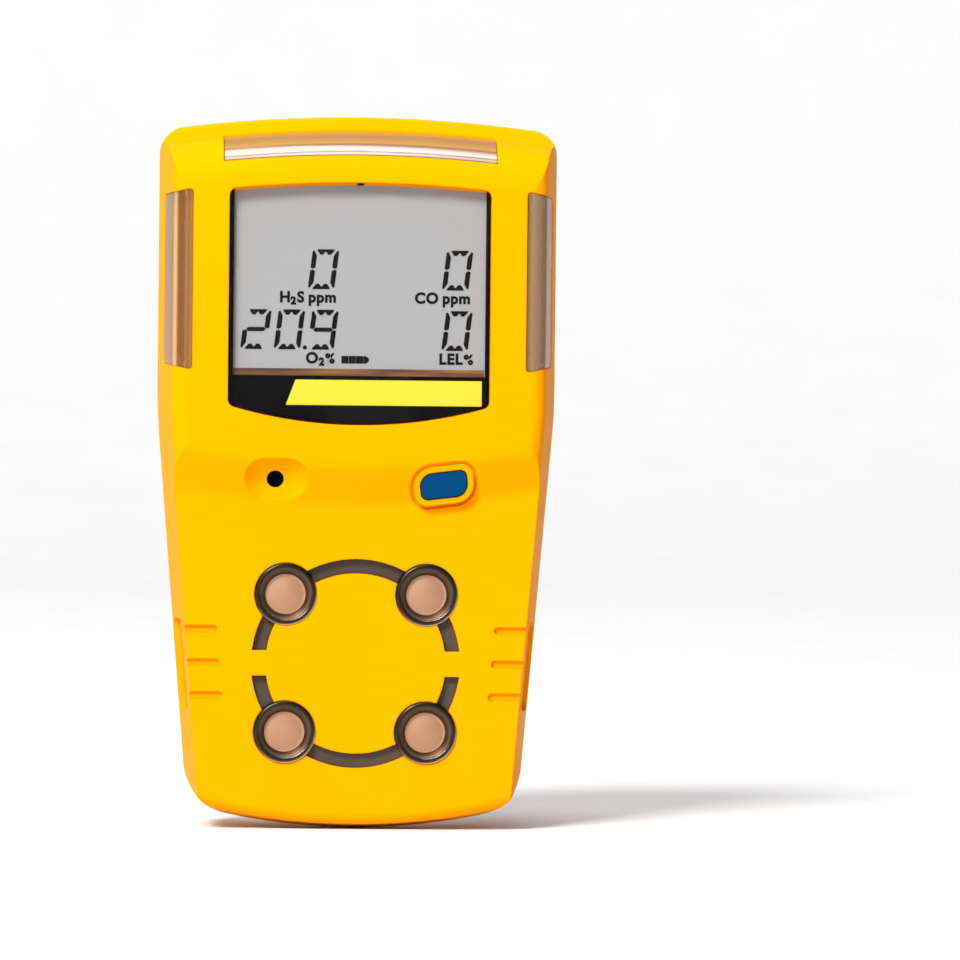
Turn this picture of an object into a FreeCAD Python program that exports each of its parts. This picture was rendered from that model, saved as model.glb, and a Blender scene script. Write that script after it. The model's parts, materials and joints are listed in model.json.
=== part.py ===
"""Portable four-gas detector with a spring clip, as separate pieces.

Millimetres. +Z is up, +X is to the right of someone facing the display, and the display faces -Y.
Pieces are modelled with the case's parting plane at Y = 0 and are moved by SHIFT_Y when they are
written, so that the origin is at the bottom centre of the whole detector's box.
"""
import FreeCAD
import Part
import math
import os

V = FreeCAD.Vector

# ---------------------------------------------------------------- driving dimensions
# Case
HEIGHT = 112.8              # bottom to top, on the centre line
HALF_WIDTH = 31.6           # at the parting plane, above the taper
BASE_HALF_WIDTH = 26.1      # where the tapered sides would meet Z = 0
TAPER_Z = 66.0              # the sides are parallel above this height
TOP_RADIUS = 215.0          # arch of the top, seen from the front
BASE_RADIUS = 100.0         # arch of the base, seen from the front
TOP_CORNER = 4.5
BASE_CORNER = 9.0
FACE_DEPTH = 10.9           # parting plane to the raised display face
LOW_FACE_DEPTH = 8.3        # parting plane to the lower face
CHIN_TOP = 22.0             # the lower face leans back below this height
CHIN_LEAN = 0.3
HEEL_RISE = 6.6             # how far the underside rises to the back
BACK_DEPTH = 14.5           # parting plane to the back
BUMP_DEPTH = 15.0           # parting plane to the back, at the foot
NECK_DEPTH = 10.5           # parting plane to the back, at the top
NECK_DROP = 6.8             # neck's foot under the arch of the top
SHOULDER_DROP = 13.0
RIDGE_DROP = 2.3            # foot of the ridge behind the top bar
DOME_DROP = 1.6
DOME_ROUND = 7.6            # rounding of the dome's front
WALL = 2.2
FRONT_EDGE = 2.6            # rounding of the long front edges
BACK_EDGE = 7.0             # rounding of the long back edges
FRONT_DRAFT = 2.3           # how far the sides lean in, parting plane to face
BACK_DRAFT = 1.0
SMILE_RADIUS = 150.0        # arch of the step below the display
SMILE_Z = 54.4              # middle of that step, on the centre line
STEP_HALF = 3.0             # half the height of that step
SEAM_DEPTH = 0.5            # shadow line along the parting plane
SEAM_HALF = 0.2
SEAL_INSET = 1.1            # outside of the seal under the case's outside
SEAL_WIDTH = 0.7
SEAL_HALF = 0.4
FIT = 0.1                   # clearance round a piece that is set into another

# Display
WINDOW_HALF_WIDTH = 20.6
WINDOW_TOP_Z = 102.2
WINDOW_BASE_Z = 64.1
WINDOW_TOP_RADIUS = 196.0
WINDOW_BASE_RADIUS = 73.0
WINDOW_CORNER = 1.2
WINDOW_RECESS = 0.35        # window's face under the case's face
WINDOW_THICK = 1.1
MASK_THICK = 0.15
LEDGE = 0.3                 # width of the shelf that the window sits on
GLASS_THICK = 2.0
BACKLIGHT_THICK = 2.4
GLASS_HALF_WIDTH = 21.0
GLASS_TOP_Z = 102.0
GLASS_BASE_Z = 69.4
VIEW_HALF_WIDTH = 19.9      # what shows of the liquid crystal display
VIEW_BASE_Z = 71.8
HOLDER_WALL = 0.8
HOLDER_LIP = 2.2            # the holder's back overlaps the backlight by this much
STRIP_HALF_WIDTH = 17.0     # elastomer connector between glass and board
STRIP_HEIGHT = 2.0

# Boards
BOARD_THICK = 1.0
BOARD_Y = 0.6               # front face of the main board
BOARD_BASE_Z = 47.6
CHIP_BASE_Z = 60.9
CHIP_SIZE = 7.0
CHIP_THICK = 1.2
BOARD_GAP = 0.7             # board edge to the case's inside
SENSOR_BOARD_TOP_Z = 51.2

# Alarm bars
LENS_THICK = 1.8
LENS_SINK = 0.1             # lens face under the case's face
TOP_LENS_HALF_WIDTH = 21.5
TOP_LENS_DROP = 6.1         # height of the top bar, from the arch of the top
TOP_LENS_Y = -2.7           # its back edge, at the foot of the ridge
SIDE_LENS_X = 26.45         # inner edge of the side bars, on the face
SIDE_LENS_Y = -3.7          # their back edge, on the sides
SIDE_LENS_TOP_Z = 101.1
SIDE_LENS_BASE_Z = 72.6
SIDE_LENS_SLANT = 0.22      # the side bars get shorter outwards by this much a millimetre
LENS_LEDGE = 0.9            # width of the shelf that a bar sits on
SIDE_LENS_CORNER = 3.0
TRAY_WALL = 0.5             # light trays behind the bars
TOP_TRAY_HALF_WIDTH = 20.9
TOP_TRAY_FRONT_Y = -8.2
TOP_TRAY_BACK_Y = -3.4
TOP_TRAY_DROP = 7.9
SIDE_TRAY_X = 25.9
SIDE_TRAY_Y = -4.0
SIDE_TRAY_MARGIN = 0.9      # lens end to tray end
PIPE_RADIUS = 0.6
SIDE_PIPE_Y = -6.8
PIPE_END_GAP = 0.4          # side pipe to the ends of its tray
TOP_PIPE = (-6.0, 6.6)      # its place behind the bar: Y, and drop from the arch of the top
LED_SIZE = 1.3
LED_THICK = 0.7
SIDE_LED_Z = (79.0, 94.6)
TOP_LED_X = (-13.0, 0.0, 13.0)

# Gas sensors and their ports
PORT_X = 11.15              # sensor centre from the centre line
PORT_Z = 10.9               # sensor centre from the middle of the four
PORT_MID_Z = 26.3           # height of the middle of the four
PORT_RADIUS = 5.0           # hole in the case
RING_FIT = 0.05
RING_PROUD = 0.3
RING_LIP_RADIUS = 4.15      # where the ring's face turns into its funnel
FILTER_RADIUS = 3.3
FILTER_THICK = 0.3
FILTER_FACE = 0.9           # mesh disc's face under the lower face
FILTER_SHELF = 0.6
SLOT_OUTER_RADIUS = 16.55   # gas channel that joins the ports
SLOT_INNER_RADIUS = 14.25
SLOT_BRIDGE_HALF = 2.0
SLOT_DEPTH = 1.5
STRIP_THICK = 0.4           # strips on the channel's floor
GASKET_THICK = 0.7
SENSOR_RADIUS = 7.9
SENSOR_LENGTH = 13.5
PIN_OUT_RADIUS = 0.5        # sensor pins
PIN_OUT_RING = 5.2
CARRIER_Y = 0.5
CARRIER_THICK = 2.0
CARRIER_TOP_Z = 46.4

# Push button and its switch
BUTTON_X = 13.6
BUTTON_Z = 54.7
BUTTON_WIDTH = 7.3
BUTTON_HEIGHT = 3.9
BUTTON_CORNER = 0.9
BUTTON_FIT = 0.15
BUTTON_TRAVEL = 0.5
BUTTON_PROUD = 0.25         # above its collar
BUTTON_LEAN = 8.0           # degrees the collar's face leans forward at the top
COLLAR_DEPTH = 10.1         # parting plane to the middle of the collar's face
BUTTON_TILT = 7.0           # degrees it is turned, seen from the front
BUTTON_LONG_CORNER = 2.0    # its upper inner and lower outer corners
BUTTON_FLANGE = 0.9
BUTTON_FLANGE_THICK = 0.9
NUB_RADIUS = 1.2
NUB_LENGTH = 0.4
COLLAR_WIDTH = 1.1
MOAT_WIDTH = 0.5
MOAT_DEPTH = 0.5
SWITCH_SIZE = 6.0
SWITCH_HEIGHT = 3.4
PLUNGER_RADIUS = 1.6
PLUNGER_HEIGHT = 1.4
PLUNGER_SUNK = 0.6
PLUNGER_FIT = 0.05

# Sounder
SOUNDER_X = -13.0
SOUNDER_Z = 55.4
SOUNDER_RADIUS = 5.2
SOUNDER_HEIGHT = 4.6
SOUND_HOLE_RADIUS = 1.35
SCOOP_RADIUS = 3.8
SCOOP_HALF_LENGTH = 1.4
SCOOP_DEPTH = 1.6
SCOOP_Z = 54.0
SOUND_TUBE_RADIUS = 3.0

# Grip grooves beside the ports
GROOVE_Z = (31.6, 26.3, 21.1)
GROOVE_LENGTH = 5.2
GROOVE_HALF = 0.6
GROOVE_DEPTH = 0.55
GROOVE_EDGE_GAP = 1.6       # groove's outer end from the case's edge
SIDE_GROOVE_NEAR_Y = 1.4    # their continuation on the sides
SIDE_GROOVE_FAR_Y = 4.3

# Side pockets, and the window with the charging contacts in the left one
POCKET_TOP_Z = 33.1
POCKET_BASE_Z = 18.9
POCKET_BACK_Y = -0.6
POCKET_FRONT_Y = -5.9
POCKET_DEPTH = 0.9
POCKET_CORNER = 1.2
SIDE_WINDOW_BACK_Y = -1.9
SIDE_WINDOW_THICK = 1.0
CONTACT_THICK = 0.5
SIDE_WINDOW_SINK = 0.4
CONTACT_GAP = 0.8

# Case screws: (distance from the centre line, height)
SCREWS = ((26.6, 105.3), (26.3, 55.4), (21.8, 8.4))
SCREW_RADIUS = 1.0
SCREW_HEAD_RADIUS = 1.9
SCREW_HEAD = 1.4
SCREW_SEAT_Y = 6.0
SCREW_REACH = 4.6
SCREW_HEAD_FIT = 0.2
BOSS_RADIUS = 3.0
BOSS_FIT = 0.3              # boards round the bosses
INSERT_RADIUS = 1.75
INSERT_LENGTH = 5.0
BOARD_SCREWS = ((-25.0, 66.4), (25.0, 66.4), (0.0, 52.4))
BOARD_SCREW_REACH = 3.6
POST_RADIUS = 2.2

# Battery and vibration motor, behind the main board
BATTERY_WIDTH = 40.0
BATTERY_HEIGHT = 38.0
BATTERY_THICK = 6.4
BATTERY_BASE_Z = 60.5
PAD_THICK = 1.2             # foam between board and battery
PAD_HALF_WIDTH = 15.0
PAD_BASE_Z = 69.0
PAD_TOP_Z = 95.0
TERMINAL_X = 8.0
TERMINAL_HALF_WIDTH = 1.5
TERMINAL_HEIGHT = 5.0
RIB_X = 12.0                # ribs on the back's inside that hold the battery
RIB_HALF_WIDTH = 0.6
MOTOR_RADIUS = 2.6
MOTOR_LENGTH = 9.0
MOTOR_X = 8.0
MOTOR_Z = 55.0
BOOT_WALL = 0.6
WEIGHT_RADIUS = 2.2
WEIGHT_LENGTH = 4.0
WEIGHT_GAP = 0.6            # weight to motor
SHAFT_RADIUS = 0.5
SHAFT_FIT = 0.05
SHAFT_DEPTH = 3.0
LINK_HALF_WIDTH = 8.0       # plug-in header between the two boards
LINK_BASE_Z = 48.2
LINK_TOP_Z = 50.2
LABEL_HALF_WIDTH = 17.0
LABEL_BASE_Z = 33.0
LABEL_TOP_Z = 50.0
LABEL_THICK = 0.25

# Spring clip on the back. Its depths are counted from the case's back or from the rivet,
# and its heights up (+) or down (-) from the rivet.
STRAP_THICK = 0.6           # folded strap under the plate
PLATE_THICK = 1.2
CLIP_HALF_WIDTH = 9.0
PIVOT_Z = 85.6              # height of the rivet
PIVOT_REACH = 6.8           # plate's back to the rivet
JAW_REACH = 5.5             # rivet to the outside of the jaw
PLATE_TOP = 3.4
PLATE_BASE = -24.6
PLATE_CORNER = 1.2
HOOK_REACH = 1.2            # plate's turned-out lower edge
HOOK_THICK = 0.9
EAR_THICK = 1.0
EAR_GAP = 0.25              # between an ear and the jaw's cheek
CHEEK_THICK = 0.8
JAW_SHEET = 0.9
RIVET_RADIUS = 1.0
RIVET_FIT = 0.05
RIVET_HEAD_RADIUS = 1.8
RIVET_HEAD = 0.8
LIP_TOP = -21.0             # top of the jaw's toothed lip
LIP_THICK = 0.9
LIP_ROOT = 2.0              # how far the lip stops inside the jaw's outside
LIP_NARROWER = 1.2          # lip's end to the inside of a cheek
LIP_SIDE_GAP = 0.5          # lip to the slot's ends
SLOT_TOP_GAP = 0.5          # slot over the lip
SLOT_BASE_GAP = 1.0         # slot under the lip, which it swings into
TOOTH_PITCH = 2.4
TOOTH_DEPTH = 1.6
TOOTH_FLAT = 0.5
ROLL_RADIUS = 1.4           # rolled edges of the plate
ROLL_HOLE = 0.6
ROLL_BASE = -19.8
ROLL_TOP = -8.7
STRAP_TOP = 15.4
STRAP_BASE = -17.6
STRAP_HALF_WIDTH = 4.4
LOOP_DEPTH = 2.4            # strap's folded end, behind the plate's front
LOOP_BASE = 4.8
LOOP_BULGE = 4.2            # the loop is deepest this far above its end
TAB_FIT = 0.5               # thumb tabs beside the strap
TAB_BASE = 2.4              # the tabs part from each other above this
TAB_SHEET_BASE = 3.7        # they are solid above this
TAB_DEPTH = -2.1            # back of the solid part, from the rivet
COIL_RADIUS = 1.7           # outside of the spring's coils
COIL_HOLE = 1.15
COIL_COUNT = 12
WIRE = 0.55
LEG_END = (-7.6, -9.6)      # lower ends of the legs on the plate and on the jaw
LEG_ANGLE = (-30, 11)
CLIP_SCREW = -13.2
CLIP_SCREW_RADIUS = 1.5
CLIP_SCREW_REACH = 3.2
CLIP_HEAD_RADIUS = 2.7
CLIP_HEAD = 1.7
WASHER_RADIUS = 3.4
WASHER_THICK = 0.5
CLIP_INSERT_RADIUS = 2.3
CLIP_INSERT_LENGTH = 3.6
CLIP_BOSS_RADIUS = 4.2
THREAD_FIT = 0.02           # between a screw and what it is screwed into

# Side views of the sheet-metal pieces: depth and height from the rivet, and corner rounding
EAR_SIDE = (
    (-2.6, -3.2, 1.5), (1.9, -3.0, 2.4), (2.6, 2.7, 2.4), (-1.0, 3.3, 1.0),
)
EAR_FOOT = (-5.6, -5.0)     # heights of the ear's lower end on the plate's front and back
JAW_SIDE = (
    (-5.2, 7.4, 0.3), (-2.4, 7.3, 0.5), (-2.2, 5.4, 1.5), (1.3, 3.1, 2.0), (4.1, -0.6, 1.5),
    (5.5, -3.0, 1.5), (4.6, -12.6, 15), (3.8, -22.1, 15), (3.3, -26.7, 1.0),
    (0.9, -26.8, 0.8), (0.4, -23.1, 6.0), (0.95, -10.6, 4), (0.7, -8.6, 0.6), (-2.1, -7.2, 1.5),
    (-4.1, -5.4, 1.0), (-2.3, -3.4, 0.8), (-2.7, -0.6, 3.0), (-2.9, 2.4, 2.0), (-4.1, 4.4, 1.0),
)
JAW_INSIDE = (
    (-8.0, 10.4, 0), (-8.0, -35.6, 0), (0.1, -35.6, 0), (2.3, -25.6, 0.3), (2.9, -22.1, 10),
    (3.7, -12.6, 15), (4.6, -3.3, 1.0), (2.9, -0.6, 1.5), (0.5, 2.4, 1.0), (-0.1, 2.8, 0),
    (-0.1, 10.4, 0),
)
CHEEK_WINDOW = (
    (1.3, -2.7, 0.3), (2.7, -3.4, 0.3), (2.7, -6.3, 0.4), (1.9, -6.3, 0.3), (-0.8, -4.7, 0.3),
)

# Places that follow from the values above
PLATE_Y = BACK_DEPTH + STRAP_THICK
PLATE_BACK_Y = PLATE_Y + PLATE_THICK
PIVOT_Y = PLATE_BACK_Y + PIVOT_REACH
CLIP_REACH = PIVOT_Y + JAW_REACH
CHEEK_OUT_X = CLIP_HALF_WIDTH - EAR_THICK - EAR_GAP
CHEEK_IN_X = CHEEK_OUT_X - CHEEK_THICK
LIP_HALF_WIDTH = CHEEK_IN_X - LIP_NARROWER
LIP_Z = PIVOT_Z + LIP_TOP
PLATE_TOP_Z = PIVOT_Z + PLATE_TOP
PLATE_BASE_Z = PIVOT_Z + PLATE_BASE
CLIP_SCREW_Z = PIVOT_Z + CLIP_SCREW
SHIFT_Y = (FACE_DEPTH - CLIP_REACH) / 2
SENSOR_Y = -LOW_FACE_DEPTH + WALL + GASKET_THICK + 0.2
SENSOR_BACK_Y = SENSOR_Y + SENSOR_LENGTH
SENSOR_BOARD_Y = SENSOR_BACK_Y + 1.2
BOARD_BACK_Y = BOARD_Y + BOARD_THICK
WINDOW_Y = -FACE_DEPTH + WINDOW_RECESS
MASK_Y = WINDOW_Y + WINDOW_THICK
LEDGE_Y = MASK_Y + MASK_THICK
GLASS_Y = -FACE_DEPTH + WALL + FIT
BACKLIGHT_Y = GLASS_Y + GLASS_THICK
BACKLIGHT_BACK_Y = BACKLIGHT_Y + BACKLIGHT_THICK
BATTERY_Y = BOARD_BACK_Y + PAD_THICK
MOTOR_Y = BOARD_BACK_Y + BOOT_WALL + MOTOR_RADIUS
SWITCH_Y = BOARD_Y - SWITCH_HEIGHT
PLUNGER_Y = SWITCH_Y - PLUNGER_HEIGHT
BUTTON_BACK_Y = PLUNGER_Y - NUB_LENGTH
FAR = 200.0

PORTS = {
    "upper_left": (-PORT_X, PORT_MID_Z + PORT_Z),
    "upper_right": (PORT_X, PORT_MID_Z + PORT_Z),
    "lower_left": (-PORT_X, PORT_MID_Z - PORT_Z),
    "lower_right": (PORT_X, PORT_MID_Z - PORT_Z),
}
SENSOR_NAMES = {
    "upper_left": "carbon_monoxide_sensor",
    "upper_right": "hydrogen_sulphide_sensor",
    "lower_left": "oxygen_sensor",
    "lower_right": "combustible_gas_sensor",
}


# ---------------------------------------------------------------- helpers
def box(x0, x1, y0, y1, z0, z1):
    return Part.makeBox(x1 - x0, y1 - y0, z1 - z0, V(x0, y0, z0))


def rod_x(y, z, radius, x0, x1):
    return Part.makeCylinder(radius, x1 - x0, V(x0, y, z), V(1, 0, 0))


def rod_y(x, z, radius, y0, y1):
    return Part.makeCylinder(radius, y1 - y0, V(x, y0, z), V(0, 1, 0))


def rod_z(x, y, radius, z0, z1):
    return Part.makeCylinder(radius, z1 - z0, V(x, y, z0), V(0, 0, 1))


def tube_y(x, z, outer, inner, y0, y1):
    return rod_y(x, z, outer, y0, y1).cut(rod_y(x, z, inner, y0, y1))


def rounded_wire(corners, place):
    """Closed outline through (u, v, radius) corners, each rounded by its own radius."""
    cut = []
    for i, (u, v, radius) in enumerate(corners):
        before = place(*corners[i - 1][:2])
        here = place(u, v)
        after = place(*corners[(i + 1) % len(corners)][:2])
        back, on = (before - here).normalize(), (after - here).normalize()
        angle = back.getAngle(on)
        if radius <= 0 or math.pi - angle < 1e-6:
            cut.append((here, here, None))
            continue
        reach = radius / math.tan(angle / 2)
        inward = (back + on).normalize()
        middle = here + inward * (radius / math.sin(angle / 2) - radius)
        cut.append((here + back * reach, here + on * reach, middle))
    edges = []
    for i, (start, end, middle) in enumerate(cut):
        if middle is not None:
            edges.append(Part.Arc(start, middle, end).toShape())
        following = cut[(i + 1) % len(cut)][0]
        if (following - end).Length > 1e-6:
            edges.append(Part.LineSegment(end, following).toShape())
    return Part.Wire(edges)


def slab_x(corners, x0, x1):
    """(y, z, radius) outline, as thick as from x0 to x1."""
    face = Part.Face(rounded_wire(corners, lambda y, z: V(x0, y, z)))
    return face.extrude(V(x1 - x0, 0, 0))


def slab_y(corners, y0, y1):
    """(x, z, radius) outline, as thick as from y0 to y1."""
    face = Part.Face(rounded_wire(corners, lambda x, z: V(x, y0, z)))
    return face.extrude(V(0, y1 - y0, 0))


def slab_z(corners, z0, z1):
    """(x, y, radius) outline, as thick as from z0 to z1."""
    face = Part.Face(rounded_wire(corners, lambda x, y: V(x, y, z0)))
    return face.extrude(V(0, 0, z1 - z0))


def turned_y(x, z, corners):
    """Solid of revolution about a line along Y, from (radius, y, rounding) corners."""
    face = Part.Face(rounded_wire(corners, lambda r, y: V(x + r, y, z)))
    return face.revolve(V(x, 0, z), V(0, 1, 0), 360)


def turned_x(y, z, corners):
    """Solid of revolution about a line along X, from (radius, x, rounding) corners."""
    face = Part.Face(rounded_wire(corners, lambda r, x: V(x, y + r, z)))
    return face.revolve(V(0, y, z), V(1, 0, 0), 360)


def mirrored(shape):
    """The same piece on the other side of the centre line."""
    return shape.mirror(V(0, 0, 0), V(1, 0, 0))


def side_edge(z):
    """Half the case's width at a height, at the parting plane."""
    return HALF_WIDTH - (HALF_WIDTH - BASE_HALF_WIDTH) * max(0.0, TAPER_Z - z) / TAPER_Z


# ---------------------------------------------------------------- outside of the case
def outline_prism(inset, y0, y1):
    """The outline seen from the front, drawn in by inset."""
    below, above = -20.0, HEIGHT + 20.0
    lean = (HALF_WIDTH - BASE_HALF_WIDTH) / TAPER_Z
    half, foot = HALF_WIDTH - inset, BASE_HALF_WIDTH - inset + lean * below
    sides = slab_y(
        [
            (-foot, below, 0), (foot, below, 0), (half, TAPER_Z, 150),
            (half, above, 0), (-half, above, 0), (-half, TAPER_Z, 150),
        ],
        y0, y1,
    )
    top = rod_y(0, HEIGHT - TOP_RADIUS, TOP_RADIUS - inset, y0, y1)
    base = rod_y(0, BASE_RADIUS, BASE_RADIUS - inset, y0, y1)
    prism = sides.common(top).common(base)
    for radius, low, high in ((TOP_CORNER, HEIGHT / 2, FAR), (BASE_CORNER, -FAR, HEIGHT / 4)):
        edges = []
        for edge in prism.Edges:
            reach = edge.BoundBox
            along_y = max(reach.XLength, reach.ZLength) < 1e-3 < reach.YLength
            on_side = abs(edge.CenterOfMass.x) > BASE_HALF_WIDTH / 2
            if along_y and on_side and low < edge.CenterOfMass.z < high:
                edges.append(edge)
        prism = prism.makeFillet(max(radius - inset, 1.0), edges)
    return prism


def arched(corners, inset, centre_z):
    """A (y, height above centre_z) outline, drawn in by inset and turned about centre_z.

    A negative height is below centre_z, so the same call arches a top and a base.
    """
    face = Part.Face(rounded_wire(corners, lambda y, rise: V(0, y, centre_z + rise)))
    if inset > 0:
        face = face.makeOffset2D(-inset, 0, False, False, True)
        face = Part.Face(face.Wires[0]) if face.ShapeType != "Face" else face
    face.rotate(V(0, 0, centre_z), V(0, 1, 0), -40)
    return face.revolve(V(0, 0, centre_z), V(0, 1, 0), 80)


def top_limit(inset):
    """Dome over the top bar, ridge, neck and shoulder: the same section all along the arch."""
    top = TOP_RADIUS
    neck = top - NECK_DROP
    return arched(
        [
            (-FACE_DEPTH, 20.0, 0), (BACK_DEPTH + 1, 20.0, 0),
            (BACK_DEPTH + 1, top - SHOULDER_DROP - 5.3, 0),
            (BACK_DEPTH, top - SHOULDER_DROP, 4.5), (NECK_DEPTH, neck, 3.5),
            (NECK_DEPTH - 0.9, top - 0.5, 1.9), (-1.7, top + 0.15, 0.8),
            (TOP_LENS_Y, top - RIDGE_DROP, 0.5), (-FACE_DEPTH, top - DOME_DROP, DOME_ROUND),
        ],
        inset, HEIGHT - TOP_RADIUS,
    )


def base_limit(inset):
    """Underside: rises to the front and, more, to the back, all along the base's arch."""
    fall = -BASE_RADIUS
    foot = arched(
        [
            (BUMP_DEPTH + 1, fall + 50.0, 0), (-FACE_DEPTH - 1, fall + 50.0, 0),
            (-FACE_DEPTH - 1, fall + CHIN_TOP + 2.0, 0), (-LOW_FACE_DEPTH - 0.01, fall + CHIN_TOP, 0),
            (-LOW_FACE_DEPTH + CHIN_LEAN, fall + 1.0, 1.8), (0.0, fall - 0.1, 0),
            (BUMP_DEPTH, fall + HEEL_RISE, 3.6), (BUMP_DEPTH + 1, fall + 30, 0),
        ],
        inset, BASE_RADIUS,
    )
    return foot.fuse(box(-FAR, FAR, -FAR, FAR, HEIGHT / 4, FAR))


def face_limit(inset):
    """Raised display face, the arched step below it, and the lower face."""
    centre = SMILE_Z + SMILE_RADIUS
    corners = [
        (20.0, 0.0, 0), (-FACE_DEPTH + inset, 0.0, 0),
        (-FACE_DEPTH + inset, -SMILE_RADIUS + STEP_HALF, 4.0),
        (-LOW_FACE_DEPTH + inset, -SMILE_RADIUS - STEP_HALF, 4.0),
        (-LOW_FACE_DEPTH + inset, -SMILE_RADIUS - 90, 0), (20.0, -SMILE_RADIUS - 90, 0),
    ]
    return arched(corners, 0, centre)


def back_limit(inset):
    """Long back: the grip's slight waist and the foot's bump, straight across."""
    return slab_x(
        [
            (-20, -20, 0), (-20, HEIGHT + 20, 0), (BACK_DEPTH - inset, HEIGHT + 20, 0),
            (BACK_DEPTH - inset, 57.5, 8), (BACK_DEPTH - 0.6 - inset, 53.5, 8),
            (BACK_DEPTH - 0.8 - inset, 31.0, 3), (BUMP_DEPTH - inset, 25.6, 3),
            (BUMP_DEPTH - inset, -20, 0),
        ],
        -FAR, FAR,
    )


def edge_limit(inset):
    """Cross-section with its drafted sides and rounded long edges, swept down the outline."""
    half_front, half_back = FACE_DEPTH - inset, BUMP_DEPTH - inset
    front_round, back_round = max(FRONT_EDGE - inset, 0.6), BACK_EDGE - inset

    def section(z, half):
        corners = [
            (-half + FRONT_DRAFT, -half_front, front_round),
            (half - FRONT_DRAFT, -half_front, front_round),
            (half, 0, 0),
            (half - BACK_DRAFT, half_back, back_round),
            (-half + BACK_DRAFT, half_back, back_round),
            (-half, 0, 0),
        ]
        return rounded_wire(corners, lambda x, y: V(x, y, z))

    lean = (HALF_WIDTH - BASE_HALF_WIDTH) / TAPER_Z
    foot = section(-5, BASE_HALF_WIDTH - 5 * lean - inset)
    middle = section(TAPER_Z, HALF_WIDTH - inset)
    head = section(HEIGHT + 10, HALF_WIDTH - inset)
    return Part.makeLoft([foot, middle], True, True).fuse(Part.makeLoft([middle, head], True, True))


def case_body(inset):
    """The closed outer form of the case, drawn in by inset on every side."""
    body = outline_prism(inset, -20, 20)
    for limit in (back_limit, face_limit, top_limit, base_limit, edge_limit):
        body = body.common(limit(inset))
    return body.removeSplitter()


# ---------------------------------------------------------------- shared shapes
BODIES = {}


def body(inset):
    """A fresh copy of the case's outer form, drawn in by inset."""
    if inset not in BODIES:
        BODIES[inset] = case_body(inset)
    return BODIES[inset].copy()


def skin(outer, inner):
    """What lies between two depths under the case's face."""
    return body(outer).cut(body(inner))


def window_outline(grow, y0, y1):
    """The display window's outline, arched at both ends."""
    half = WINDOW_HALF_WIDTH + grow
    sheet = box(-half, half, y0, y1, WINDOW_BASE_Z - grow, WINDOW_TOP_Z + grow)
    top_centre = WINDOW_TOP_Z - WINDOW_TOP_RADIUS
    base_centre = WINDOW_BASE_Z + WINDOW_BASE_RADIUS
    sheet = sheet.common(rod_y(0, top_centre, WINDOW_TOP_RADIUS + grow, y0, y1))
    sheet = sheet.common(rod_y(0, base_centre, WINDOW_BASE_RADIUS + grow, y0, y1))
    corners = []
    for edge in sheet.Edges:
        start, end = edge.Vertexes[0].Point, edge.Vertexes[-1].Point
        upright = abs(start.x - end.x) < 1e-6 and abs(start.z - end.z) < 1e-6
        if upright and abs(start.x) > half - 1e-3:
            corners.append(edge)
    return sheet.makeFillet(WINDOW_CORNER + grow, corners)


def button_outline(grow, y0, y1):
    """The push button's leaf-shaped outline, turned a little."""
    half, rise = BUTTON_WIDTH / 2 + grow, BUTTON_HEIGHT / 2 + grow
    tight, wide = BUTTON_CORNER + grow, BUTTON_LONG_CORNER + grow
    leaf = slab_y(
        [(-half, -rise, tight), (half, -rise, wide), (half, rise, tight), (-half, rise, wide)],
        y0, y1,
    )
    leaf.rotate(V(0, 0, 0), V(0, 1, 0), -BUTTON_TILT)
    leaf.translate(V(BUTTON_X, 0, BUTTON_Z))
    return leaf


def behind_button_face(proud):
    """Everything behind the leaning face of the button's collar, moved outwards by proud."""
    space = box(-FAR, FAR, -COLLAR_DEPTH - proud, FAR, -FAR, FAR)
    space.rotate(V(0, -COLLAR_DEPTH, BUTTON_Z), V(1, 0, 0), BUTTON_LEAN)
    return space


def top_bar(grow):
    """The space that the top bar takes in the dome; grow widens it on every side."""
    rise = TOP_RADIUS - TOP_LENS_DROP - grow
    arch = rod_y(0, HEIGHT - TOP_RADIUS, rise, -FAR, FAR)
    half, back = TOP_LENS_HALF_WIDTH + grow, TOP_LENS_Y + grow
    return box(-half, half, -FACE_DEPTH - 1, back, HEIGHT / 2, HEIGHT + 1).cut(arch)


def side_bar(grow):
    """The space that the right side bar takes; it gets shorter outwards."""
    inner, outer = SIDE_LENS_X - grow, HALF_WIDTH + 1
    high, low = SIDE_LENS_TOP_Z + grow, SIDE_LENS_BASE_Z - grow
    lean = SIDE_LENS_SLANT * (outer - inner)
    front = slab_y(
        [(inner, low, 0.6), (outer, low + lean, 0), (outer, high - lean, 0), (inner, high, 0.6)],
        -FAR, FAR,
    )
    back = SIDE_LENS_Y + grow
    corner = SIDE_LENS_CORNER + grow
    side = slab_x([(-FAR, low, 0), (back, low, corner), (back, high, corner), (-FAR, high, 0)], 0, FAR)
    return front.common(side)


def pocket(back_y, front_y, grow):
    """Upright rounded outline on the right side of the case."""
    high, low = POCKET_TOP_Z + grow, POCKET_BASE_Z - grow
    near, far = back_y + grow, front_y - grow
    corners = [(near, low), (near, high), (far, high), (far, low)]
    return slab_x([(y, z, POCKET_CORNER + grow) for y, z in corners], 0, FAR)


def screw_places():
    return [(side * x, z) for x, z in SCREWS for side in (-1, 1)]


# ---------------------------------------------------------------- case
def seam():
    ring = body(0).cut(body(SEAM_DEPTH))
    return ring.common(box(-FAR, FAR, -SEAM_HALF, SEAM_HALF, -FAR, FAR))


def case_seal():
    ring = body(SEAL_INSET).cut(body(SEAL_INSET + SEAL_WIDTH))
    return ring.common(box(-FAR, FAR, -SEAL_HALF, SEAL_HALF, -FAR, FAR))


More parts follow.
